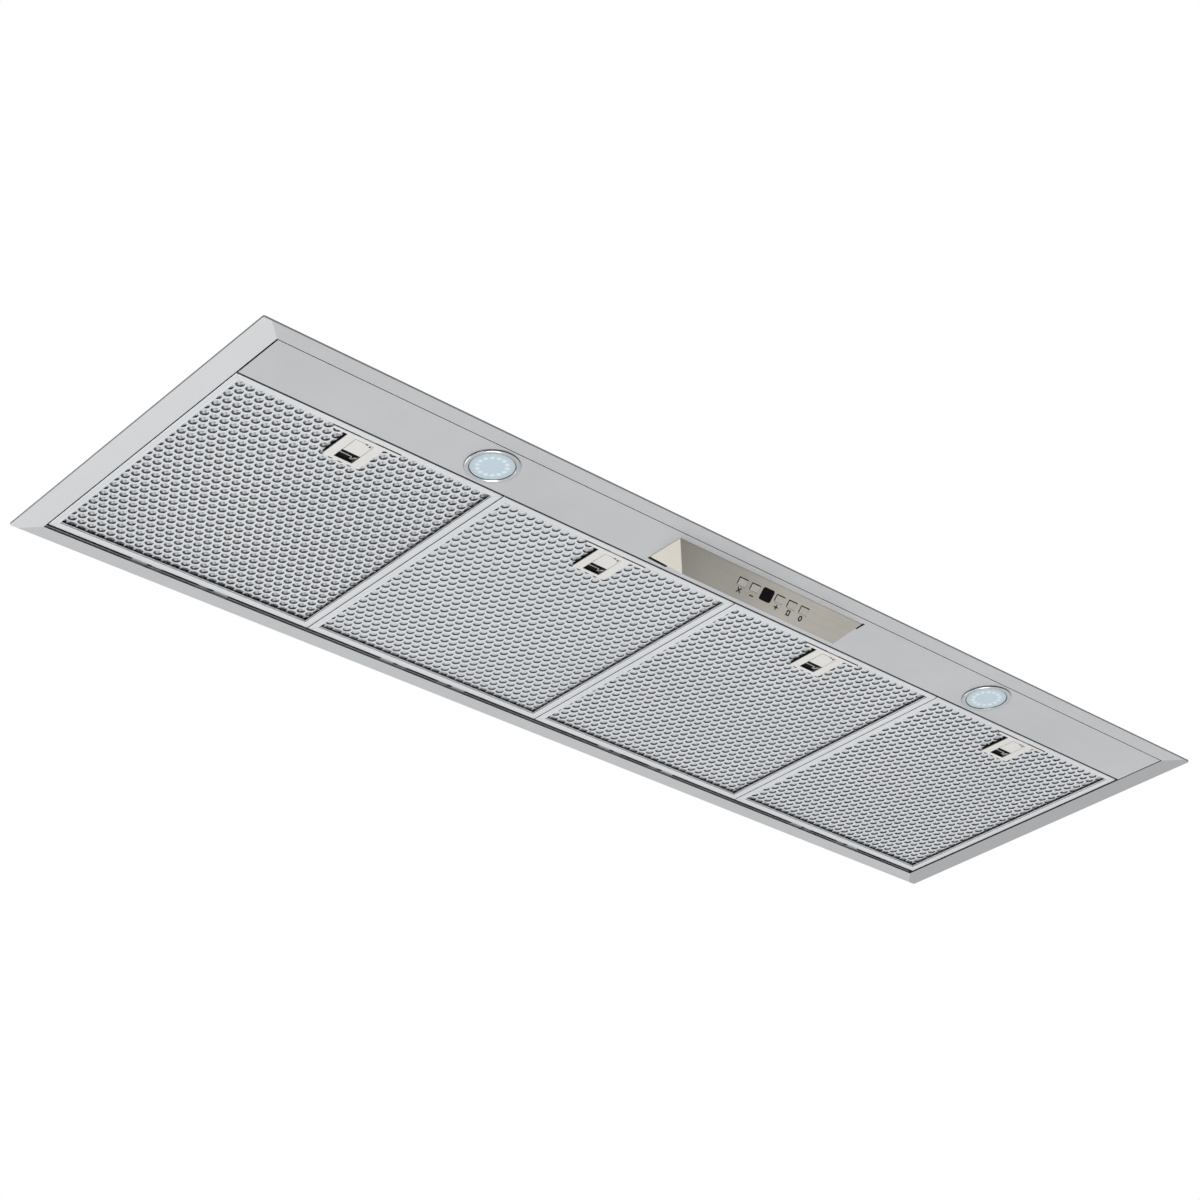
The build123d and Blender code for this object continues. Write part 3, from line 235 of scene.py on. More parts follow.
# %% Brushed lines
brushed_lines, lines_in, lines_out = shader_group(
    "brushed_lines", {"Vector": None, "Along": 6.0, "Across": 1400.0, "Turn": 0.0})
add_line = partial(add_node, brushed_lines)
lines_turn = add_line("ShaderNodeCombineXYZ", z=lines_in["Turn"])
lines_spin = add_line("ShaderNodeMapping", vector=lines_in["Vector"], rotation=lines_turn.outputs[0])
lines_size = add_line("ShaderNodeCombineXYZ", lines_in["Along"], lines_in["Across"], lines_in["Across"])
lines_map = add_line("ShaderNodeMapping", vector=lines_spin.outputs[0], scale=lines_size.outputs[0])
lines_noise = add_line("ShaderNodeTexNoise", vector=lines_map.outputs[0], scale=1.0, detail=3.0,
                       roughness=0.65)
brushed_lines.links.new(lines_noise.outputs["Fac"], lines_out["Mask"])
print("group", brushed_lines.name)

# %% Cloudy tone and fine pits
cloudy_tone, cloud_in, cloud_out = shader_group("cloudy_tone", {"Vector": None, "Size": 5.0, "Contrast": 1.0})
cloud_noise = add_node(cloudy_tone, "ShaderNodeTexNoise", vector=cloud_in["Vector"], scale=cloud_in["Size"],
                       detail=5.0, roughness=0.6)
centred = math_node(cloudy_tone, "SUBTRACT", cloud_noise.outputs["Fac"], 0.5)
stretched = math_node(cloudy_tone, "MULTIPLY", centred, cloud_in["Contrast"])
cloudy_tone.links.new(math_node(cloudy_tone, "ADD", stretched, 0.5), cloud_out["Mask"])

fine_pits, pits_in, pits_out = shader_group("fine_pits", {"Vector": None, "Size": 900.0}, ("Height",))
pits_noise = add_node(fine_pits, "ShaderNodeTexVoronoi", vector=pits_in["Vector"], scale=pits_in["Size"])
pits_noise.feature = "SMOOTH_F1"
fine_pits.links.new(pits_noise.outputs["Distance"], pits_out["Height"])
print("groups", cloudy_tone.name, fine_pits.name)

# %% Upright faces and the frame's ends
upright_faces, _, upright_out = shader_group("upright_faces", {})
upright_flat = math_node(upright_faces, "ABSOLUTE", face_normal(upright_faces)["Z"])
upright_faces.links.new(math_node(upright_faces, "LESS_THAN", upright_flat, 0.5), upright_out["Mask"])

frame_ends, ends_in, ends_out = shader_group(
    "frame_ends", {"Vector": None, "Half Width": 0.575, "Half Depth": 0.183}, ("Mask", "Right"))
ends_math = partial(math_node, frame_ends)
ends_place = parts(frame_ends, ends_in["Vector"])
beyond_x = ends_math("SUBTRACT", ends_math("ABSOLUTE", ends_place["X"]), ends_in["Half Width"])
beyond_y = ends_math("SUBTRACT", ends_math("ABSOLUTE", ends_place["Y"]), ends_in["Half Depth"])
ends_mask = ends_math("GREATER_THAN", beyond_x, ends_math("MAXIMUM", beyond_y, 0.0))
right_half = ends_math("GREATER_THAN", ends_place["X"], 0.0)
frame_ends.links.new(ends_mask, ends_out["Mask"])
frame_ends.links.new(ends_math("MULTIPLY", ends_mask, right_half), ends_out["Right"])
print("groups", upright_faces.name, frame_ends.name)

# %% Front slope and depth
front_slope, slope_in, slope_out = shader_group("front_slope", {"Vector": None, "Middle": 0.0, "Length": 0.1})
slope_x = parts(front_slope, slope_in["Vector"])["X"]
slope_front = math_node(front_slope, "LESS_THAN", face_normal(front_slope)["Y"], -0.5)
from_middle = math_node(front_slope, "SUBTRACT", slope_in["Middle"], slope_x)
slope_left = clamped_share(front_slope, from_middle, slope_in["Length"])
front_slope.links.new(math_node(front_slope, "MULTIPLY", slope_front, slope_left), slope_out["Mask"])

depth_share, depth_in, depth_out = shader_group("depth_share", {"Vector": None, "Start": 0.0, "Depth": 0.001})
depth_z = parts(depth_share, depth_in["Vector"])["Z"]
beyond_start = math_node(depth_share, "SUBTRACT", depth_z, depth_in["Start"])
depth_share.links.new(clamped_share(depth_share, beyond_start, depth_in["Depth"]), depth_out["Mask"])
print("groups", front_slope.name, depth_share.name)

# %% [markdown]
# ## Finishes
# One function builds every metal and plastic from the same few layers: a base colour between two
# tones, a roughness between two values, and a slight relief. What differs is the pattern, brushed or
# pitted, and its scale. Numbers that don't change over the surface sit on the shader's own sockets.

# %% Make the finishes
finishes = {}
QUARTER_TURN = math.pi / 2


def place_group(tree, group, **values):
    """Adds a shared effect to a material, fills its inputs and gives its first output."""
    node = tree.nodes.new("ShaderNodeGroup")
    node.node_tree = group
    return fill(tree, node, **values).outputs[0]


def blend_colours(tree, mask, low, high):
    """A colour between two others by a mask; the first may also be an output socket."""
    node = tree.nodes.new("ShaderNodeMix")
    node.data_type = "RGBA"
    if not isinstance(low, bpy.types.NodeSocket):
        low = (*low, 1)
    return fill(tree, node, factor=mask, a=low, b=(*high, 1)).outputs["Result"]


def blend_values(tree, mask, low, high):
    """A number between two values by a mask."""
    scaled = math_node(tree, "MULTIPLY", mask, high - low)
    return math_node(tree, "ADD", scaled, low)


def bump(tree, height, strength, distance):
    """A bump normal from a height."""
    node = add_node(tree, "ShaderNodeBump", strength=strength, distance=distance, height=height)
    return node.outputs["Normal"]


END_PAINTED_SHEEN = (0.93, 0.935, 0.94)  # painted sheen: both ends of the frame, brushed across, are lighter, for their brighter reflection
RIGHT_END_PAINTED_SHADE = (0.57, 0.575, 0.58)      # painted shade: the right end, further from the lamps, is darker still
END_PAINTED_SHEEN_SHARE = 0.8
CLOUD_CONTRAST = 1.6
LINE_RELIEF = 0.35    # bump strength of the brushed lines, for each unit of their share in the tone
COAT_ROUGHNESS = 0.12


def finish(name, dark, light, rough, metallic, brushed=0.0, mitred=False, pits=0.0, pit_size=900.0,
           cloud=5.0, coat=0.0, relief=0.00002, edge=None, depth=None, slope=None, gloss=0.5):
    """A finish from cloudy tone, brushed lines or fine pits, with painted sheen and shade on the frame's ends
    and painted shade on upright faces, in depths and on slopes.
    """
    material, tree, shader = new_material(name)
    vector = tree.nodes.new("ShaderNodeTexCoord").outputs["Object"]
    calc = partial(math_node, tree)
    tone = place_group(tree, cloudy_tone, vector=vector, size=cloud, contrast=CLOUD_CONTRAST)
    if brushed:
        lines = place_group(tree, brushed_lines, vector=vector)
        if mitred:
            ends = place_group(tree, frame_ends, vector=vector)
            turned = place_group(tree, brushed_lines, vector=vector, turn=QUARTER_TURN)
            lines = calc("ADD", lines, calc("MULTIPLY", calc("SUBTRACT", turned, lines), ends))
        tone = calc("ADD", tone, calc("MULTIPLY", calc("SUBTRACT", lines, 0.5), brushed))
        normal = bump(tree, lines, min(1.0, LINE_RELIEF * brushed), relief)
    if pits:
        normal = bump(tree, place_group(tree, fine_pits, vector=vector, size=pit_size), pits, relief)
    colour = blend_colours(tree, tone, dark, light)
    # painted sheen on the frame's ends, then painted shade on its right end
    if mitred:
        colour = blend_colours(tree, calc("MULTIPLY", ends, END_PAINTED_SHEEN_SHARE), colour, END_PAINTED_SHEEN)
        colour = blend_colours(tree, ends.node.outputs["Right"], colour, RIGHT_END_PAINTED_SHADE)
    # painted shade on upright faces, standing for the shade in seams and gaps
    if edge:
        colour = blend_colours(tree, place_group(tree, upright_faces), colour, edge)
    # painted shade deeper than a given height
    if depth:
        start, reach, shade = depth
        mask = place_group(tree, depth_share, vector=vector, start=start, depth=reach)
        colour = blend_colours(tree, mask, colour, shade)
    # painted shade on the left part of a slope that faces the front
    if slope:
        middle, reach, shade = slope
        mask = place_group(tree, front_slope, vector=vector, middle=middle, length=reach)
        colour = blend_colours(tree, mask, colour, shade)
    fill(tree, shader, base_color=colour, roughness=blend_values(tree, tone, *rough), normal=normal,
         metallic=metallic, coat_weight=coat, coat_roughness=COAT_ROUGHNESS)
    shader.inputs["Specular IOR Level"].default_value = gloss
    finishes[name] = material


# painted shade on the flange's upright faces, for its dark seams and gaps
EDGE = (0.22, 0.22, 0.225)
FOIL_START = 1.6 * MM  # the foil pack begins this far behind the pierced face
face_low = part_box("filter_face_1")[0]
finish("satin_steel", (0.68, 0.685, 0.69), (0.78, 0.785, 0.79), (0.36, 0.44), 1.0, brushed=0.7,
       mitred=True, edge=EDGE)
# painted shade: the console's front face darkens towards its left end
finish("console_steel", (0.46, 0.435, 0.395), (0.70, 0.655, 0.58), (0.26, 0.36), 1.0, brushed=0.8,
       cloud=4.0, slope=(0.02, 0.22, (0.16, 0.148, 0.13)))
finish("plenum_steel", (0.50, 0.51, 0.52), (0.66, 0.67, 0.68), (0.36, 0.48), 1.0, brushed=0.5, cloud=9.0)
# the rims' upright faces get painted shade, for the dark gaps between filters
finish("rim_aluminium", (0.76, 0.775, 0.785), (0.84, 0.85, 0.86), (0.38, 0.48), 0.55, brushed=0.4,
       edge=(0.09, 0.093, 0.098))
# painted shade: the pierced face turns near-black down each hole's collar, for the shade in the holes
finish("face_aluminium", (0.76, 0.78, 0.80), (0.86, 0.875, 0.89), (0.34, 0.46), 0.55, brushed=0.2,
       depth=(face_low.z + 0.05 * MM, 0.5 * MM, (0.035, 0.037, 0.04)))
rim_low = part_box("filter_rim_1")[0]
# painted shade: the hem's far end is near-black, for the shadow gap between rim and pierced face
finish("hem_aluminium", (0.76, 0.775, 0.785), (0.86, 0.87, 0.88), (0.38, 0.48), 0.4, brushed=0.1,
       depth=(rim_low.z + 2.35 * MM, 0.15 * MM, (0.02, 0.02, 0.022)))
finish("core_aluminium", (0.84, 0.86, 0.885), (0.96, 0.97, 0.985), (0.30, 0.42), 0.35, pits=0.3,
       pit_size=420.0, cloud=60.0, relief=0.0002)
# the first filter's foil: a lighter copy of the foil finish, painted light, with painted shade in its valleys
finish("core_coarse", (0.92, 0.935, 0.95), (0.98, 0.985, 0.99), (0.20, 0.32), 0.5, pits=0.3,
       pit_size=420.0, cloud=60.0, relief=0.0002,
       depth=(face_low.z + FOIL_START + 0.4 * MM, 0.7 * MM, (0.36, 0.37, 0.38)))
# the latch plate's upright faces get painted shade, for the dark slit along its open sides
finish("latch_plate", (0.74, 0.715, 0.68), (0.82, 0.80, 0.76), (0.38, 0.5), 0.1, pits=0.15,
       edge=(0.20, 0.195, 0.185))
finish("spring_wire", (0.62, 0.62, 0.62), (0.80, 0.80, 0.80), (0.16, 0.26), 1.0, pits=0.1)
bezel_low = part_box("lamp_bezel_left")[0]
# painted shade and reflection: the bezel's inner slope turns near-black towards the lens
finish("lamp_chrome", (0.60, 0.62, 0.64), (0.72, 0.74, 0.76), (0.16, 0.22), 1.0, pits=0.03,
       depth=(bezel_low.z + 0.7 * MM, 0.5 * MM, (0.03, 0.035, 0.035)))
finish("lamp_heatsink", (0.50, 0.51, 0.52), (0.62, 0.63, 0.64), (0.4, 0.55), 1.0, pits=0.5)
finish("display_glass", (0.003, 0.0028, 0.0026), (0.006, 0.0056, 0.0052), (0.4, 0.5), 0.0, pits=0.05,
       gloss=0.06)
finish("button_cap", (0.50, 0.475, 0.435), (0.64, 0.61, 0.56), (0.22, 0.30), 0.9, brushed=0.5)
finish("button_ink", (0.014, 0.013, 0.012), (0.03, 0.028, 0.026), (0.5, 0.6), 0.0, pits=0.2, gloss=0.2)
finish("deep_shadow", (0.006, 0.006, 0.006), (0.014, 0.014, 0.014), (0.6, 0.7), 0.0, pits=0.2, gloss=0.1)
finish("circuit_board", (0.015, 0.11, 0.05), (0.03, 0.19, 0.09), (0.35, 0.5), 0.0, pits=0.3, coat=0.4)
finish("blower_plastic", (0.035, 0.036, 0.038), (0.07, 0.071, 0.075), (0.45, 0.6), 0.0, pits=0.5)
finish("motor_paint", (0.16, 0.17, 0.18), (0.25, 0.26, 0.275), (0.4, 0.5), 0.2, pits=0.4)
finish("box_plastic", (0.13, 0.135, 0.14), (0.20, 0.205, 0.21), (0.45, 0.6), 0.0, pits=0.6)
finish("gland_plastic", (0.02, 0.02, 0.02), (0.045, 0.045, 0.045), (0.4, 0.55), 0.0, pits=0.4)
finish("fastener_zinc", (0.55, 0.555, 0.55), (0.70, 0.70, 0.68), (0.26, 0.4), 1.0, pits=0.2)
print(len(finishes), "finishes")

# %% [markdown]
# ## The lens
# The lamp's lens is frosted plastic, lit softly from behind by a ring of light-emitting diodes. The
# spots are a pattern, not pieces: a mask that repeats round the lamp's centre. Both lamps share the
# material, because the pattern measures from the nearer of the two centres.

# %% Frosted lens with a ring of spots
lens_low, lens_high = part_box("lamp_lens_right")
lens_centre = (lens_low + lens_high) / 2
LENS_R = (lens_high.x - lens_low.x) / 2
LED_COUNT = 14
LED_RING_R = 13.4 * MM
LED_SPOT_R = 2.6 * MM


def length_of(tree, x, y):
    """The length of a flat vector."""
    squares = [math_node(tree, "MULTIPLY", value, value) for value in (x, y)]
    return math_node(tree, "SQRT", math_node(tree, "ADD", *squares))


led_spots, spots_in, spots_out = shader_group(
    "led_spots", {"Vector": None, "Centre X": abs(lens_centre.x), "Centre Y": lens_centre.y,
                  "Ring": LED_RING_R, "Spot": LED_SPOT_R, "Count": float(LED_COUNT)}, ("Mask", "Radius"))
spot_math = partial(math_node, led_spots)
spot_place = parts(led_spots, spots_in["Vector"])
from_x = spot_math("SUBTRACT", spot_math("ABSOLUTE", spot_place["X"]), spots_in["Centre X"])
from_y = spot_math("SUBTRACT", spot_place["Y"], spots_in["Centre Y"])
radius = length_of(led_spots, from_x, from_y)
angle = spot_math("ARCTAN2", from_y, from_x)
share = spot_math("DIVIDE", spot_math("MULTIPLY", angle, spots_in["Count"]), 2 * math.pi)
sector = spot_math("SUBTRACT", share, spot_math("ROUND", share))
arc = spot_math("MULTIPLY", sector, spot_math("DIVIDE", 2 * math.pi, spots_in["Count"]))
sideways = spot_math("MULTIPLY", arc, spots_in["Ring"])
outwards = spot_math("SUBTRACT", radius, spots_in["Ring"])
distance = length_of(led_spots, sideways, outwards)
near = spot_math("SUBTRACT", 1.0, spot_math("DIVIDE", distance, spots_in["Spot"]))
led_spots.links.new(spot_math("POWER", spot_math("MAXIMUM", near, 0.0), 0.6), spots_out["Mask"])
led_spots.links.new(radius, spots_out["Radius"])

lens_material, lens_tree, lens_shader = new_material("lamp_lens")
lens_vector = lens_tree.nodes.new("ShaderNodeTexCoord").outputs["Object"]
lens_spots = place_group(lens_tree, led_spots, vector=lens_vector)
edge_share = math_node(lens_tree, "DIVIDE", lens_spots.node.outputs["Radius"], LENS_R)
edge_mask = math_node(lens_tree, "POWER", edge_share, 6.0)
lens_tone = blend_colours(lens_tree, edge_mask, (0.47, 0.56, 0.63), (0.40, 0.48, 0.50))
lens_colour = blend_colours(lens_tree, lens_spots, lens_tone, (0.70, 0.79, 0.76))
lens_pits = place_group(lens_tree, fine_pits, vector=lens_vector, size=700.0)
fill(lens_tree, lens_shader, base_color=lens_colour, emission_color=lens_colour, emission_strength=0.12,
     normal=bump(lens_tree, lens_pits, 0.15, 0.0001), roughness=0.28, coat_weight=0.6, coat_roughness=0.08)
finishes["lamp_lens"] = lens_material
print("lens radius", round(LENS_R / MM, 1), "mm, spots", LED_COUNT)

# %% [markdown]
# ## Dress the CAD nodes
# A node whose shape is already right keeps its mesh and only gets its finish. The record says which
# material slot each node has, so one loop dresses them all.

# %% Give every CAD node its finish
slot_of = {piece["node"]: piece["material_slot"] for piece in frame["record"]["subparts"]}
body_of_node = {}
for body_name, members in frame["record"]["behaviour"]["bodies"].items():
    for member in members:
        body_of_node[member] = body_name
for node_name, node_object in frame["nodes"].items():
    node_object.data.materials.clear()
    node_object.data.materials.append(finishes[slot_of[node_name]])
print(len(slot_of), "nodes dressed")

# %% [markdown]
# ## Folded and pressed edges
# Sheet metal has no sharp edges: each fold has a small radius, and it catches the light as a thin
# bright or dark line. The CAD solids are sharp. A copy of a node's mesh is merged and freed of the
# lines across its flat faces, and a Bevel modifier rounds what is left; the copy then replaces it.

# %% Round the edges of folded pieces


def link_object(name, mesh):
    """A new object at the origin, so that its place is all in its mesh."""
    made = bpy.data.objects.new(name, mesh)
    scene.collection.objects.link(made)
    return made


def settle(made):
    """Turns an object's modifiers into a plain mesh and removes them."""
    evaluated = made.evaluated_get(bpy.context.evaluated_depsgraph_get())
    mesh = bpy.data.meshes.new_from_object(evaluated)
    made.modifiers.clear()
    old = made.data
    made.data = mesh
    mesh.name = made.name
    bpy.data.meshes.remove(old)


RECORD_SLOTS = [material["slot"] for material in frame["record"]["materials"]]


def dress(made, node, finish_name=None, replaced=True):
    """Gives a piece its finish and body, and lets it stand for its CAD node."""
    finish_name = finish_name or slot_of[node]
    made.data.materials.clear()
    made.data.materials.append(finishes[finish_name])
    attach(made, body_of_node[node])
    finish_name if finish_name in RECORD_SLOTS else slot_of[node]
    if replaced:
        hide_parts(node)
    return made


def add_piece(mesh, node, finish_name=None, replaced=True):
    """Makes a mesh a piece of the same name and dresses it."""
    return dress(link_object(mesh.name, mesh), node, finish_name, replaced)


@contextmanager
def editing(mesh, merge=False):
    """Opens a mesh for edits, with doubled points merged if need be, and writes it back."""
    shape = bmesh.new()
    shape.from_mesh(mesh)
    if merge:
        bmesh.ops.remove_doubles(shape, verts=shape.verts, dist=1e-6)
    yield shape
    shape.to_mesh(mesh)
    shape.free()


def smooth_by_angle(mesh, degrees=35.0):
    """Smooth shading, with hard edges where faces meet at more than an angle."""
    mesh.shade_smooth()
    with editing(mesh) as shape:
        for edge in shape.edges:
            if len(edge.link_faces) == 2:
                edge.smooth = edge.calc_face_angle(0.0) < math.radians(degrees)


FOLD_SMOOTH = 12.0  # degrees: less than one step of a rounded fold, so that flat sheet stays flat


def rounded_copy(node, width):
    """A copy of a CAD node with its edges rounded to a width in millimetres."""
    mesh = frame["nodes"][node].data.copy()
    with editing(mesh, merge=True) as shape:
        bmesh.ops.dissolve_limit(shape, angle_limit=math.radians(1.0), verts=shape.verts, edges=shape.edges)
    made = link_object(f"{node}_skin", mesh)
    bevel = made.modifiers.new("fold", "BEVEL")
    bevel.width = width * MM
    bevel.segments = 2
    bevel.limit_method = "ANGLE"
    bevel.angle_limit = math.radians(30.0)
    bevel.use_clamp_overlap = True
    settle(made)
    smooth_by_angle(made.data, FOLD_SMOOTH)
    return dress(made, node)


FOLD_WIDTHS = {
    "trim_frame": 0.35, "deck_plate": 0.4, "console_housing": 1.1, "plenum_shell": 0.45,
    "display_window": 0.12, "control_box": 0.5, "control_box_lid": 0.35, "duct_collar": 0.3,
    "blower_cover": 0.3, "filter_rail_front": 0.2, "filter_rail_rear": 0.2,
}
FILTER_NUMBERS = range(1, 5)
for number in FILTER_NUMBERS:
    FOLD_WIDTHS[f"latch_case_{number}"] = 0.3
    FOLD_WIDTHS[f"latch_slider_{number}"] = 0.25
for number in range(1, 6):
    FOLD_WIDTHS[f"button_{number}"] = 0.15
for node_name, fold in FOLD_WIDTHS.items():
    made = rounded_copy(node_name, fold)
    print(made.name, len(made.data.polygons), "faces")

# %% [markdown]
# ## Filter rims
# Each filter's rim is four lengths of rolled aluminium that meet in mitres at the corners. The
# section is drawn once as a line of points, swept along each side, and cut at 45 degrees at both ends
# by moving every point of the section along the bar by its own distance from the outer edge. A thin
# hem runs from the rim's inner edge towards the pierced face on three sides. It is a second section,
# swept in the same way; in front there is none, because the latch bolt passes there.

# %% Sweep the rim's section
RIM_W = 7.5 * MM
RIM_WALL = 1.2 * MM
MITRE_GAP = 0.12 * MM


def in_metres(*points):
    """Points given in millimetres, in metres."""
    return [tuple(value * MM for value in point) for point in points]


# Points across the rim, as (distance in from the outer edge, height above the rim's face).
ROLLED_EDGE = in_metres(    # in front, where the fingers take hold
    (0.0, 3.0), (0.45, 2.1), (0.9, 1.3), (1.25, 0.55), (1.7, 0.15), (2.3, 0.0))
TIGHT_EDGE = in_metres((0.0, 0.6), (0.15, 0.2), (0.55, 0.0))    # beside the next filter
RIM_GROOVE = in_metres(
    (3.0, 0.05), (3.9, 0.25), (4.4, 0.35), (4.9, 0.25), (5.7, 0.05), (6.6, 0.0), (7.2, 0.15))
HEM_T = 0.8 * MM
HEM_END = 3.9 * MM    # just short of the pierced face
HEM_SECTION = [(RIM_W, 0.95 * MM), (RIM_W, HEM_END), (RIM_W - HEM_T, HEM_END), (RIM_W - HEM_T, 1.25 * MM)]
HEMMED_SIDES = (1, 2, 3)


def rim_section(height, edge):
    """The rim's closed section for a height and one of the two outer edges."""
    return [
        *edge, *RIM_GROOVE, (RIM_W, 0.5 * MM), (RIM_W, 0.9 * MM), (7.1 * MM, RIM_WALL), (RIM_WALL, RIM_WALL),
        (RIM_WALL, height - RIM_WALL), (RIM_W, height - RIM_WALL), (RIM_W, height - 0.3 * MM),
        (RIM_W - 0.3 * MM, height), (0.3 * MM, height), (0.0, height - 0.3 * MM),
    ]


def loft(lower, upper):
    """Quads between two closed loops of points."""
    return list(zip(lower, [*lower[1:], lower[0]], [*upper[1:], upper[0]], upper))


def mitred_bars(low, high, sections):
    """Mitred bars round a rectangle, one for each side that has a section; side 0 is the front one."""
    vertices, faces = [], []
    corners = [(low.x, low.y), (high.x, low.y), (high.x, high.y), (low.x, high.y)]
    for side, section in sections.items():
        count = len(section)
        start, end = Vector(corners[side]), Vector(corners[(side + 1) % 4])
        along = (end - start).normalized()
        inward = Vector((-along.y, along.x))
        first = len(vertices)
        for origin, sense in ((start, 1), (end, -1)):
            for inset, height in section:
                point = origin + inward * inset + along * sense * (inset + MITRE_GAP / 2)
                vertices.append((point.x, point.y, low.z + height))
        near, far = range(first, first + count), range(first + count, first + 2 * count)
        faces += [*loft(near, far), near[::-1], far]
    return vertices, faces


def plain_mesh(name, vertices, faces):
    """A mesh of the given faces."""
    mesh = bpy.data.meshes.new(name)
    mesh.from_pydata(vertices, [], faces)
    return mesh


def outward_mesh(name, vertices, faces, smooth=None):
    """A mesh of closed shells whose faces point outwards, smooth up to an angle if one is given."""
    mesh = plain_mesh(name, vertices, faces)
    with editing(mesh) as shape:
        bmesh.ops.recalc_face_normals(shape, faces=shape.faces)
    if smooth:
        smooth_by_angle(mesh, smooth)
    return mesh


def box_faces(base):
    """The sides of a box whose corners, four below and four above, start at an index."""
    quads = ((0, 3, 2, 1), (4, 5, 6, 7), (0, 1, 5, 4), (1, 2, 6, 5), (2, 3, 7, 6), (3, 0, 4, 7))
    return [tuple(base + k for k in quad) for quad in quads]


TONGUE_OFFSETS = (-45.0 * MM, -26.0 * MM, 26.0 * MM, 45.0 * MM)
TONGUE_RISE = 2.4 * MM
TONGUE_T = 1.0 * MM
TONGUE_ROOT = 0.6 * MM        # how far it starts inside the rim
TONGUE_HALF = 6 * MM          # half its width at the root
TONGUE_TIP_HALF = 5.4 * MM    # and at the tip
for number in FILTER_NUMBERS:
    rim_low, rim_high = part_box(f"filter_rim_{number}")
    face_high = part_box(f"filter_face_{number}")[1]
    outer_high = Vector((rim_high.x, face_high.y + RIM_WALL, rim_high.z))
    rim_height = rim_high.z - rim_low.z
    sections = {side: rim_section(rim_height, TIGHT_EDGE if side else ROLLED_EDGE) for side in range(4)}
    points, polygons = mitred_bars(rim_low, outer_high, sections)
    root_y, tip_y = outer_high.y - TONGUE_ROOT, rim_high.y
    for offset in TONGUE_OFFSETS:
        middle = (rim_low.x + rim_high.x) / 2 + offset
        polygons += box_faces(len(points))
        for z in (rim_low.z + TONGUE_RISE, rim_low.z + TONGUE_RISE + TONGUE_T):
            points += [(middle - TONGUE_HALF, root_y, z), (middle + TONGUE_HALF, root_y, z),
                       (middle + TONGUE_TIP_HALF, tip_y, z), (middle - TONGUE_TIP_HALF, tip_y, z)]
    add_piece(outward_mesh(f"rolled_rim_{number}", points, polygons, 50.0), f"filter_rim_{number}")
    hem_bars = mitred_bars(rim_low, outer_high, {side: HEM_SECTION for side in HEMMED_SIDES})
    add_piece(outward_mesh(f"rim_hem_{number}", *hem_bars), f"filter_rim_{number}", "hem_aluminium", False)
print("rim size in mm", [round(v / MM, 1) for v in (outer_high - rim_low)])

# %% [markdown]
# ## Perforated sheets
# A filter's face is aluminium pierced with hundreds of staggered holes, each with a slightly dished
# edge that catches the light. This is a job for Geometry Nodes: one cell is modelled, a field of
# points is laid out in staggered rows, a cell is instanced on each, and the cells are merged.

# %% One cell of the sheet


def cell_mesh(name, pitch, row, hole_r, rings, segments, facing):
    """A rectangle of sheet round one hole, whose collar is given by rings of (added radius, depth).

    Its edges have a middle point, where a shifted row's corners meet it. Facing is the sign of Z on the
    side that is seen."""
    half_x, half_y = pitch / 2, row / 2
    border = [(half_x, 0), (half_x, half_y), (0, half_y), (-half_x, half_y), (-half_x, 0),
              (-half_x, -half_y), (0, -half_y), (half_x, -half_y)]
    shape = bmesh.new()
    outer = [shape.verts.new((x, y, 0)) for x, y in border]
    circles = []
    for added_r, ring_z in rings:
        circles.append([
            shape.verts.new(((hole_r + added_r) * math.cos(2 * math.pi * k / segments),
                             (hole_r + added_r) * math.sin(2 * math.pi * k / segments), ring_z))
            for k in range(segments)])
    for outside, inner in zip(circles, circles[1:]):
        for corners in loft(outside, inner):
            shape.faces.new(corners)
    step = segments // len(border)
    first = circles[0]
    for k in range(len(border)):
        here, there = outer[k], outer[(k + 1) % len(border)]
        arc_points = [first[(k * step + j) % segments] for j in range(step + 1)]
        flat_face = shape.faces.new((here, there, *reversed(arc_points)))
    for face in shape.faces:
        face.smooth = True
    shape.normal_update()
    if flat_face.normal.z * facing < 0:
        bmesh.ops.reverse_faces(shape, faces=shape.faces)
    mesh = bpy.data.meshes.new(name)
    shape.to_mesh(mesh)
    shape.free()
    return mesh


HOLE_PITCH = 10.1 * MM
HOLE_ROW = 8.9 * MM
HOLE_R = 3.9 * MM
HOLE_DEPTH = 1.5 * MM
front_cell = link_object("front_cell", cell_mesh(
    "front_cell", HOLE_PITCH, HOLE_ROW, HOLE_R,
    [(0.45 * MM, 0.0), (0.1 * MM, 0.25 * MM), (0.0, HOLE_DEPTH)], 16, -1))
rear_cell = link_object("rear_cell", cell_mesh(
    "rear_cell", HOLE_PITCH, HOLE_ROW, HOLE_R, [(0.3 * MM, 0.0), (0.0, -0.3 * MM)], 8, 1))
print("cell faces", len(front_cell.data.polygons))

# %% A Geometry Nodes tree that tiles the cell
tiling = bpy.data.node_groups.new("staggered_tiling", "GeometryNodeTree")
for label, kind, value in (
    ("Cell", "Object", None), ("Columns", "Int", 28), ("Rows", "Int", 33), ("Pitch", "Float", HOLE_PITCH),
    ("Row Height", "Float", HOLE_ROW), ("Centre", "Vector", None), ("Finish", "Material", None),
):
    socket(tiling, label, kind, "INPUT", value)
socket(tiling, "Geometry", "Geometry", "OUTPUT")
tile_in = tiling.nodes.new("NodeGroupInput").outputs
tile_out = tiling.nodes.new("NodeGroupOutput").inputs
tile_math = partial(math_node, tiling)
add_tile = partial(add_node, tiling)


def from_centre(index, count):
    """How many steps an index lies from the middle of its row or column."""
    return tile_math("SUBTRACT", index, tile_math("MULTIPLY", tile_math("SUBTRACT", count, 1.0), 0.5))


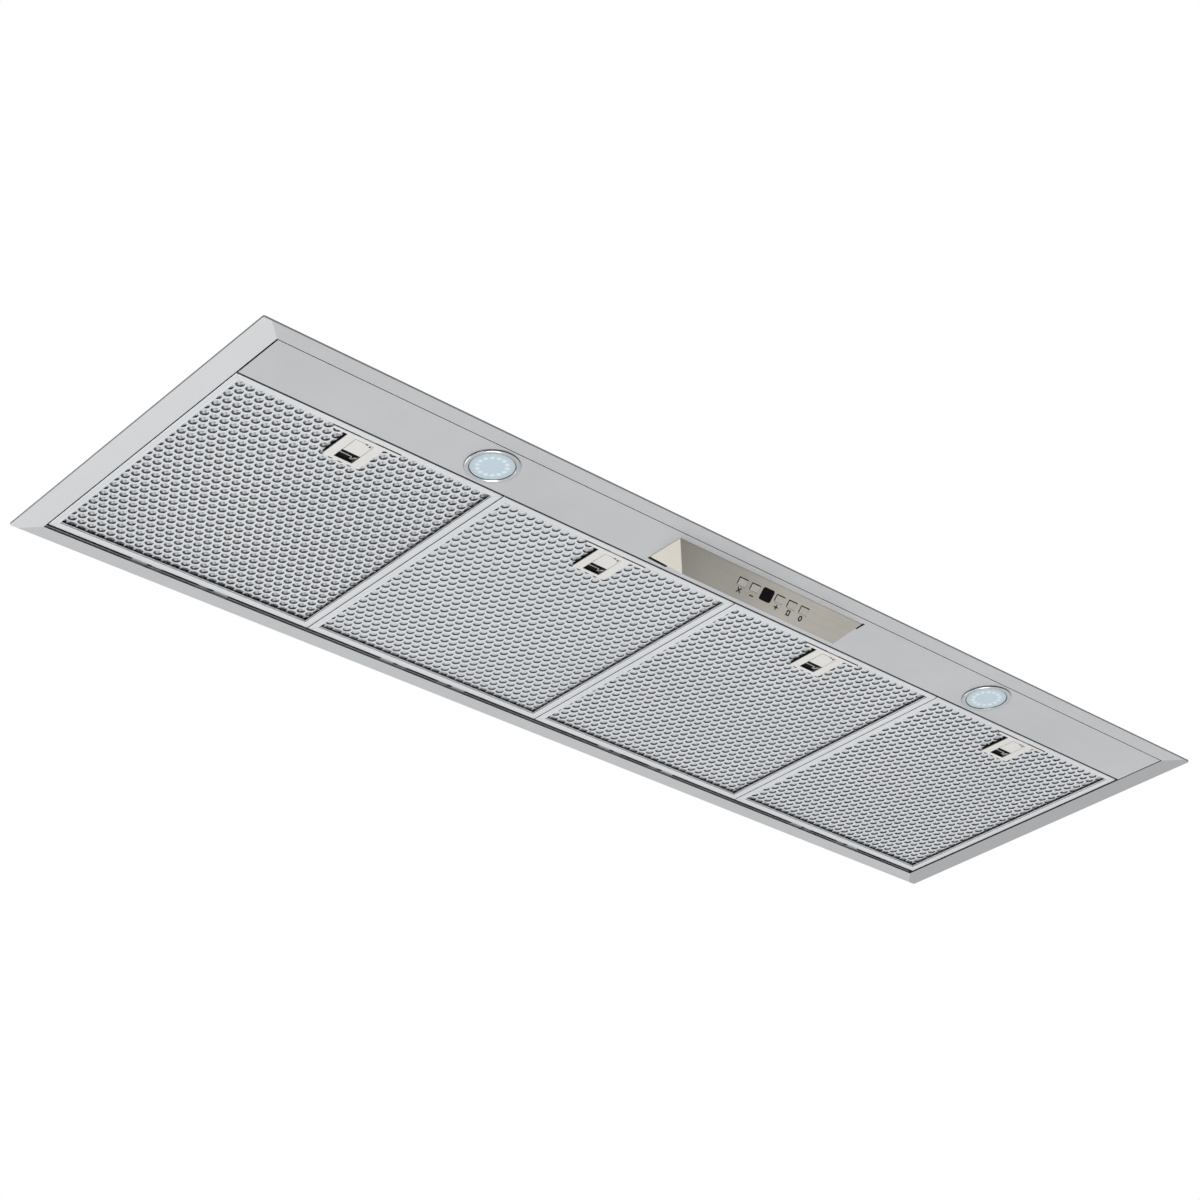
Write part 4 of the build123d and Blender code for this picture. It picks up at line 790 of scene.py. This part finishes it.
tile_index = add_tile("GeometryNodeInputIndex").outputs[0]
tile_row = tile_math("FLOOR", tile_math("DIVIDE", tile_index, tile_in["Columns"]))
tile_column = tile_math("SUBTRACT", tile_index, tile_math("MULTIPLY", tile_row, tile_in["Columns"]))
tile_odd = tile_math("MODULO", tile_row, 2.0)
tile_shift = tile_math("SUBTRACT", tile_math("MULTIPLY", tile_odd, 0.5), 0.25)
steps_x = tile_math("ADD", tile_shift, from_centre(tile_column, tile_in["Columns"]))
tile_place = add_tile("ShaderNodeCombineXYZ", x=tile_math("MULTIPLY", steps_x, tile_in["Pitch"]), y=tile_math(
    "MULTIPLY", from_centre(tile_row, tile_in["Rows"]), tile_in["Row Height"]))
tile_centred = add_tile("ShaderNodeVectorMath", tile_place.outputs[0], tile_in["Centre"])
tile_points = add_tile("GeometryNodePoints", position=tile_centred.outputs[0],
                       count=tile_math("MULTIPLY", tile_in["Columns"], tile_in["Rows"]))
tile_object = add_tile("GeometryNodeObjectInfo", object=tile_in["Cell"])
tile_instances = add_tile("GeometryNodeInstanceOnPoints", points=tile_points.outputs[0],
                          instance=tile_object.outputs["Geometry"])
tile_real = add_tile("GeometryNodeRealizeInstances", tile_instances.outputs[0])
tile_merge = add_tile("GeometryNodeMergeByDistance", tile_real.outputs[0], distance=0.02 * MM)
tile_finish = add_tile("GeometryNodeSetMaterial", geometry=tile_merge.outputs[0], material=tile_in["Finish"])
tiling.links.new(tile_finish.outputs[0], tile_out[0])
print("tiling nodes", len(tiling.nodes))

# %% Lay a sheet in every filter
SHEET_WALL = 0.3 * MM
REAR_INSET = 0.1 * MM    # from the back of the pack to the rear sheet


def set_inputs(modifier, values):
    """Sets a modifier's inputs by the identifiers of the tree's sockets."""
    for item in modifier.node_group.interface.items_tree:
        if item.item_type == "SOCKET" and item.in_out == "INPUT" and item.name in values:
            modifier[item.identifier] = values[item.name]


def pierced_sheet(name, node, cell, columns, rows, centre, finish_name, replaced):
    """A perforated sheet of whole cells, with a wall thickness."""
    sheet = link_object(name, bpy.data.meshes.new(name))
    tiles = sheet.modifiers.new("tiles", "NODES")
    tiles.node_group = tiling
    set_inputs(tiles, {"Cell": cell, "Columns": columns, "Rows": rows, "Centre": centre,
                       "Finish": finishes[finish_name]})
    wall = sheet.modifiers.new("wall", "SOLIDIFY")
    wall.thickness = SHEET_WALL
    wall.offset = -1.0
    wall.use_even_offset = False
    settle(sheet)
    return dress(sheet, node, finish_name, replaced)


for number in FILTER_NUMBERS:
    face_low, face_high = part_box(f"filter_face_{number}")
    core_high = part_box(f"filter_core_{number}")[1]
    middle = (face_low + face_high) / 2
    columns = math.floor((face_high.x - face_low.x) / HOLE_PITCH - 0.5)
    rows = math.floor((face_high.y - face_low.y) / HOLE_ROW)
    made = pierced_sheet(f"pierced_face_{number}", f"filter_face_{number}", front_cell, columns, rows,
                         (middle.x, middle.y, face_low.z), "face_aluminium", True)
    pierced_sheet(f"pierced_rear_{number}", f"filter_core_{number}", rear_cell, columns, rows,
                  (middle.x, middle.y, core_high.z - REAR_INSET), "rim_aluminium", False)
print(made.name, columns, "by", rows, "holes,", len(made.data.polygons), "faces")
for cell in (front_cell, rear_cell):
    bpy.data.objects.remove(cell)

# %% [markdown]
# ## Mesh packs
# Behind each pierced face lie layers of expanded foil. What shows through the holes is the nearest
# layer, a shiny sheet of small staggered bumps. A grid whose height is a product of two cosines has
# just that lattice, and its bumps catch the lamps as real ones do. The first filter's pack is pressed
# more deeply than the others, which makes it look coarser; its finish is a lighter copy, painted
# light, with painted shade in the valleys of its bumps.

# %% Press the foil
BUMP_X = HOLE_PITCH / 2
BUMP_Y = HOLE_ROW
STEPS_X, STEPS_Y = 5, 7     # grid steps in one wave of bumps
FOIL_END = 0.9 * MM         # short of the back of the pack
FOIL_INSET = 0.2 * MM
FOIL_DEPTH = 0.5 * MM
COARSE_DEPTH = 1.1 * MM
COARSE_FILTER = 1


def pressed_foil(name, low, high, depth):
    """A slab whose underside is a lattice of bumps."""
    columns = math.floor((high.x - low.x) / (BUMP_X / STEPS_X))
    rows = math.floor((high.y - low.y) / (BUMP_Y / STEPS_Y))
    vertices, faces = [], []
    for row in range(rows + 1):
        y = low.y + (high.y - low.y) * row / rows
        wave_y = math.cos(2 * math.pi * y / BUMP_Y)
        for column in range(columns + 1):
            x = low.x + (high.x - low.x) * column / columns
            wave_x = math.cos(2 * math.pi * x / BUMP_X)
            vertices.append((x, y, low.z + depth * (1 - wave_x * wave_y) / 2))
    across = columns + 1
    for row in range(rows):
        for column in range(columns):
            k = row * across + column
            faces.append((k, k + across, k + across + 1, k + 1))
    edge = [*range(across)]
    edge += [columns + across * row for row in range(1, rows + 1)]
    edge += [rows * across + column for column in range(columns - 1, -1, -1)]
    edge += [across * row for row in range(rows - 1, 0, -1)]
    back = range(len(vertices), len(vertices) + len(edge))
    vertices += [(vertices[k][0], vertices[k][1], high.z) for k in edge]
    faces += [*loft(edge, back), back]
    mesh = plain_mesh(name, vertices, faces)
    smooth_by_angle(mesh, 60.0)
    return mesh


for number in FILTER_NUMBERS:
    face_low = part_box(f"filter_face_{number}")[0]
    core_low, core_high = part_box(f"filter_core_{number}")
    foil_low = Vector((core_low.x + FOIL_INSET, core_low.y + FOIL_INSET, face_low.z + FOIL_START))
    foil_high = Vector((core_high.x - FOIL_INSET, core_high.y - FOIL_INSET, core_high.z - FOIL_END))
    coarse = number == COARSE_FILTER
    foil_mesh = pressed_foil(f"foil_pack_{number}", foil_low, foil_high,
                             COARSE_DEPTH if coarse else FOIL_DEPTH)
    add_piece(foil_mesh, f"filter_core_{number}", "core_coarse" if coarse else None)
print("foil pack", len(foil_mesh.polygons), "faces")

# %% [markdown]
# ## Latch shade plates
# Under each latch plate a near-black plate lies on the face, painted shadow for the shade in which the
# slider and its spring run. It shows in the window and as a black slit along the plate's open sides.

# %% Lay the painted shadow plates
SHADE_PLATE_T = 0.2 * MM
SHADE_PLATE_LIFT = 0.05 * MM
SHADE_PLATE_HALF = 20.0 * MM
SHADE_PLATE_CORNER = 1.5 * MM
SHADE_PLATE_FRONT, SHADE_PLATE_REAR = 3.6 * MM, 0.5 * MM    # in from the latch plate's front and rear edges


def shade_plate_mesh(name, low, high, corner):
    """A thin plate with cut corners."""
    outline = [(low.x + corner, low.y), (high.x - corner, low.y), (high.x, low.y + corner),
               (high.x, high.y - corner), (high.x - corner, high.y), (low.x + corner, high.y),
               (low.x, high.y - corner), (low.x, low.y + corner)]
    count = len(outline)
    vertices = [(x, y, z) for z in (low.z, high.z) for x, y in outline]
    under, over = range(count), range(count, 2 * count)
    return plain_mesh(name, vertices, [under[::-1], over, *loft(under, over)])


for number in FILTER_NUMBERS:
    plate_low, plate_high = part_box(f"latch_case_{number}")
    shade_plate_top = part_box(f"filter_face_{number}")[0].z - SHADE_PLATE_LIFT
    middle_x = (plate_low.x + plate_high.x) / 2
    shade_plate_low = Vector((middle_x - SHADE_PLATE_HALF, plate_low.y + SHADE_PLATE_FRONT, shade_plate_top - SHADE_PLATE_T))
    shade_plate_high = Vector((middle_x + SHADE_PLATE_HALF, plate_high.y - SHADE_PLATE_REAR, shade_plate_top))
    # a near-black plate: painted shadow under the latch plate
    add_piece(shade_plate_mesh(f"latch_tray_{number}", shade_plate_low, shade_plate_high, SHADE_PLATE_CORNER),
              f"latch_case_{number}", "deep_shadow", False)
print("tray size in mm", [round(v / MM, 1) for v in (shade_plate_high - shade_plate_low)])

# %% [markdown]
# ## Lamp bezels
# A bezel is a spun ring. Its section is a short list of points, turned round the lamp's axis, and
# smooth shading makes the curve. Polished chrome shows the dark studio walls on its slopes, and its
# inner slope is painted dark towards the lens, a painted reflection of a dark groove. The lens
# keeps its CAD mesh, drawn in to what the bezel leaves in view and set back behind the bezel's edge.

# %% Spin the bezels
BEZEL_SEGMENTS = 96
BEZEL_W = 4.0 * MM
BEZEL_SEAT = 1.8 * MM   # from its face to the control strip
NECK_WALL = 1.2 * MM
SEAT_EDGE = in_metres((0.0, 0.0), (0.05, 0.5), (0.3, 1.0), (0.8, 1.45))    # in from outside, down from seat
FACE_CURVE = in_metres(    # in from outside, up from the face
    (1.4, 0.06), (1.9, 0.0), (2.5, 0.1), (3.1, 0.3), (3.7, 0.58), (4.3, 0.92), (4.8, 1.25), (5.1, 1.7))
LENS_SHOWN = 0.948      # share of the lens that the bezel leaves in view
LENS_RECESS = 0.8 * MM


def spun_ring(name, centre, section, segments):
    """A closed section of (radius, height) points turned round an upright axis."""
    vertices, faces = [], []
    for turn_number in range(segments):
        angle = 2 * math.pi * turn_number / segments
        vertices += [(centre.x + r * math.cos(angle), centre.y + r * math.sin(angle), z) for r, z in section]
    count = len(section)
    for turn_number in range(segments):
        here, there = turn_number * count, (turn_number + 1) % segments * count
        faces += loft(range(here, here + count), range(there, there + count))
    return outward_mesh(name, vertices, faces, 40.0)


for side in ("left", "right"):
    ring_low, ring_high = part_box(f"lamp_bezel_{side}")
    centre = (ring_low + ring_high) / 2
    outer_r = (ring_high.x - ring_low.x) / 2
    inner_r = outer_r - BEZEL_W
    face_z, seat_z, neck_z = ring_low.z, ring_low.z + BEZEL_SEAT, ring_high.z
    section = [
        *((outer_r - inset, seat_z - drop) for inset, drop in SEAT_EDGE),
        *((outer_r - inset, face_z + rise) for inset, rise in FACE_CURVE), (inner_r, face_z + 1.9 * MM),
        (inner_r, neck_z), (inner_r + NECK_WALL, neck_z), (inner_r + NECK_WALL, seat_z),
    ]
    add_piece(spun_ring(f"spun_bezel_{side}", centre, section, BEZEL_SEGMENTS), f"lamp_bezel_{side}")
    disc_low, disc_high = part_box(f"lamp_lens_{side}")
    disc_mesh = frame["nodes"][f"lamp_lens_{side}"].data.copy()
    disc_mesh.name = f"frosted_lens_{side}"
    with editing(disc_mesh, merge=True) as shape:
        for vertex in shape.verts:
            vertex.co.x = centre.x + (vertex.co.x - centre.x) * LENS_SHOWN
            vertex.co.y = centre.y + (vertex.co.y - centre.y) * LENS_SHOWN
            vertex.co.z = max(vertex.co.z, disc_low.z + LENS_RECESS)
        bmesh.ops.remove_doubles(shape, verts=shape.verts, dist=1e-6)
        bmesh.ops.dissolve_degenerate(shape, edges=shape.edges, dist=1e-6)
    smooth_by_angle(disc_mesh)
    add_piece(disc_mesh, f"lamp_lens_{side}")
print("bezel radius", round(outer_r / MM, 1), "mm, face", round(face_z / MM, 2), "lens face",
      round((lens_low.z + LENS_RECESS) / MM, 2), "lens thickness", round((disc_high.z - disc_low.z) / MM, 2))

# %% [markdown]
# ## Marks and painted shadow slits on the console
# The buttons have printed signs below them, which say more, less and the like without words. Each is a
# few straight strokes in the plane of the console's face, given in millimetres from the sign's middle.

# %% Print the signs
CONSOLE_LIP = 3.0 * MM
MARK_DOWN = 7.9 * MM
MARK_LINE = 1.3 * MM
MARK_HEIGHT = 0.05 * MM
BUTTON_UP = 2.0 * MM
BUTTON_EDGE_W = 0.7 * MM
BUTTON_EDGE = [[(-5.65, -2.4), (-5.65, 4.1), (5.0, 4.1)]]  # the shadow line round a cap's top left corner
console_low, console_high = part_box("console_housing")
strip_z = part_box("deck_plate")[0].z
face_top = Vector((0, console_low.y + CONSOLE_LIP, strip_z))
face_ridge = Vector((0, (console_low.y + console_high.y) / 2, console_low.z))
ALONG = Vector((1, 0, 0))
UP_SLOPE = (face_top - face_ridge).normalized()
ring_sign = [(1.7 * math.cos(2 * math.pi * k / 12), 2.2 * math.sin(2 * math.pi * k / 12)) for k in range(13)]
SIGNS = {
    1: [[(-1.9, -1.9), (1.9, 1.9)], [(-1.9, 1.9), (1.9, -1.9)]],
    2: [[(-1.9, 0.0), (1.9, 0.0)]],
    3: [[(-2.0, 0.0), (2.0, 0.0)], [(0.0, -2.0), (0.0, 2.0)]],
    4: [[(-1.6, -2.2), (1.6, -2.2), (1.6, 2.2), (-1.6, 2.2), (-1.6, -2.2)]],
    5: [ring_sign],
}


def stroke_mesh(name, origin, right, up, strokes, width, height):
    """Thin raised strokes on a plane: each segment of each line is a flat bar."""
    out = right.cross(up)
    vertices, faces = [], []
    for line in strokes:
        for start, end in zip(line, line[1:]):
            first = origin + right * start[0] * MM + up * start[1] * MM
            last = origin + right * end[0] * MM + up * end[1] * MM
            along = (last - first).normalized() * width / 2
            aside = out.cross(along)
            faces += box_faces(len(vertices))
            corners = [first - along - aside, first - along + aside, last + along + aside,
                       last + along - aside]
            vertices += [corner + out * lift for lift in (0.0, height) for corner in corners]
    return outward_mesh(name, vertices, faces)


for number, strokes in SIGNS.items():
    button_low, button_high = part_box(f"button_{number}")
    button_place = (face_top + face_ridge) / 2 + UP_SLOPE * BUTTON_UP
    button_place.x = (button_low.x + button_high.x) / 2
    add_piece(stroke_mesh(f"sign_{number}", button_place - UP_SLOPE * MARK_DOWN, ALONG, UP_SLOPE, strokes,
                          MARK_LINE, MARK_HEIGHT), "display_window", "button_ink", False)
    add_piece(stroke_mesh(f"button_edge_{number}", button_place, ALONG, UP_SLOPE, BUTTON_EDGE,
                          BUTTON_EDGE_W, MARK_HEIGHT), "console_housing", "deep_shadow", False)
print(len(SIGNS), "signs")

# %% Lay painted shadow slits at the console's corners
rear_corner = Vector((console_low.x + CONSOLE_LIP, console_high.y - CONSOLE_LIP, strip_z))
front_corner = Vector((console_high.x - CONSOLE_LIP, console_low.y + CONSOLE_LIP, strip_z))
TO_COOK = Vector((0, -1, 0))
SHADOW_SLIT_W = 3.2 * MM
# near-black strips: painted shadow in the gaps at the console's corners
SHADOW_SLITS = {"rear_left": (rear_corner, [[(1.2, -2.0), (22.0, -2.9)]]),
         "front_right": (front_corner, [[(1.2, 0.3), (1.4, -8.0)]])}
for label, (corner, strokes) in SHADOW_SLITS.items():
    add_piece(stroke_mesh(f"console_slit_{label}", corner, ALONG, TO_COOK, strokes, SHADOW_SLIT_W, MARK_HEIGHT),
              "console_housing", "deep_shadow", False)
print(len(SHADOW_SLITS), "slits")

# %% [markdown]
# ## Latch springs
# A bent wire lies across the latch's slot, behind the slider, and pushes it back out. The model stands
# for it with a coil, which can't be seen to shorten. The wire is a bevelled curve turned into a mesh.
# Two small dark spots lie on the slider's lower face. They ride on the latch plate, so they stay when
# the slider is drawn back.

# %% Bend the spring wires
WIRE_R = 0.6 * MM
WIRE_BENDS = in_metres(    # across, back from the slider, up
    (-9.1, 4.3, 0.7), (3.2, 4.3, 0.7), (4.0, 4.9, 0.7), (4.2, 8.2, 1.3), (5.6, 8.8, 1.4), (6.8, 7.4, 1.2),
    (7.4, 4.9, 0.7), (9.1, 4.5, 0.7))
# dark spots: painted shade of two small notches at the slider's front right corner
SPOT_PLACES = [[(-7.5, -0.1), (-6.7, -0.1)], [(-2.9, -1.9), (-2.9, -1.1)]]
SPOT_W = 1.6 * MM
SPOTS_RIGHT, SPOTS_FRONT = 9.8 * MM, 19.6 * MM    # their origin, from the spring's middle and front end


def bent_wire(name, points, wire_r):
    """A round wire through a row of points, as a closed mesh."""
    curve = bpy.data.curves.new(name, "CURVE")
    curve.dimensions = "3D"
    curve.bevel_depth = wire_r
    curve.bevel_resolution = 2
    curve.use_fill_caps = True
    line = curve.splines.new("POLY")
    line.points.add(len(points) - 1)
    for place, point in zip(line.points, points):
        place.co = (*point, 1.0)
    wire = link_object(name, curve)
    bpy.context.view_layer.update()
    mesh = bpy.data.meshes.new_from_object(wire.evaluated_get(bpy.context.evaluated_depsgraph_get()))
    bpy.data.objects.remove(wire)
    mesh.name = name
    with editing(mesh, merge=True) as shape:
        bmesh.ops.recalc_face_normals(shape, faces=shape.faces)
    smooth_by_angle(mesh, 40.0)
    return mesh


for number in FILTER_NUMBERS:
    spring_low, spring_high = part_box(f"latch_spring_{number}")
    middle_x = (spring_low.x + spring_high.x) / 2
    bends = [(middle_x + across, spring_low.y + back, spring_low.z + up) for across, back, up in WIRE_BENDS]
    spring_wire = add_piece(bent_wire(f"latch_wire_{number}", bends, WIRE_R), f"latch_spring_{number}")
    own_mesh(spring_wire)
    plate_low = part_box(f"latch_case_{number}")[0]
    # painted shade for the slider's two notches, in the ink finish
    spots_place = Vector((middle_x + SPOTS_RIGHT, spring_low.y - SPOTS_FRONT, plate_low.z))
    add_piece(stroke_mesh(f"latch_marks_{number}", spots_place, ALONG, TO_COOK, SPOT_PLACES, SPOT_W,
                          MARK_HEIGHT), f"latch_case_{number}", "button_ink", False)
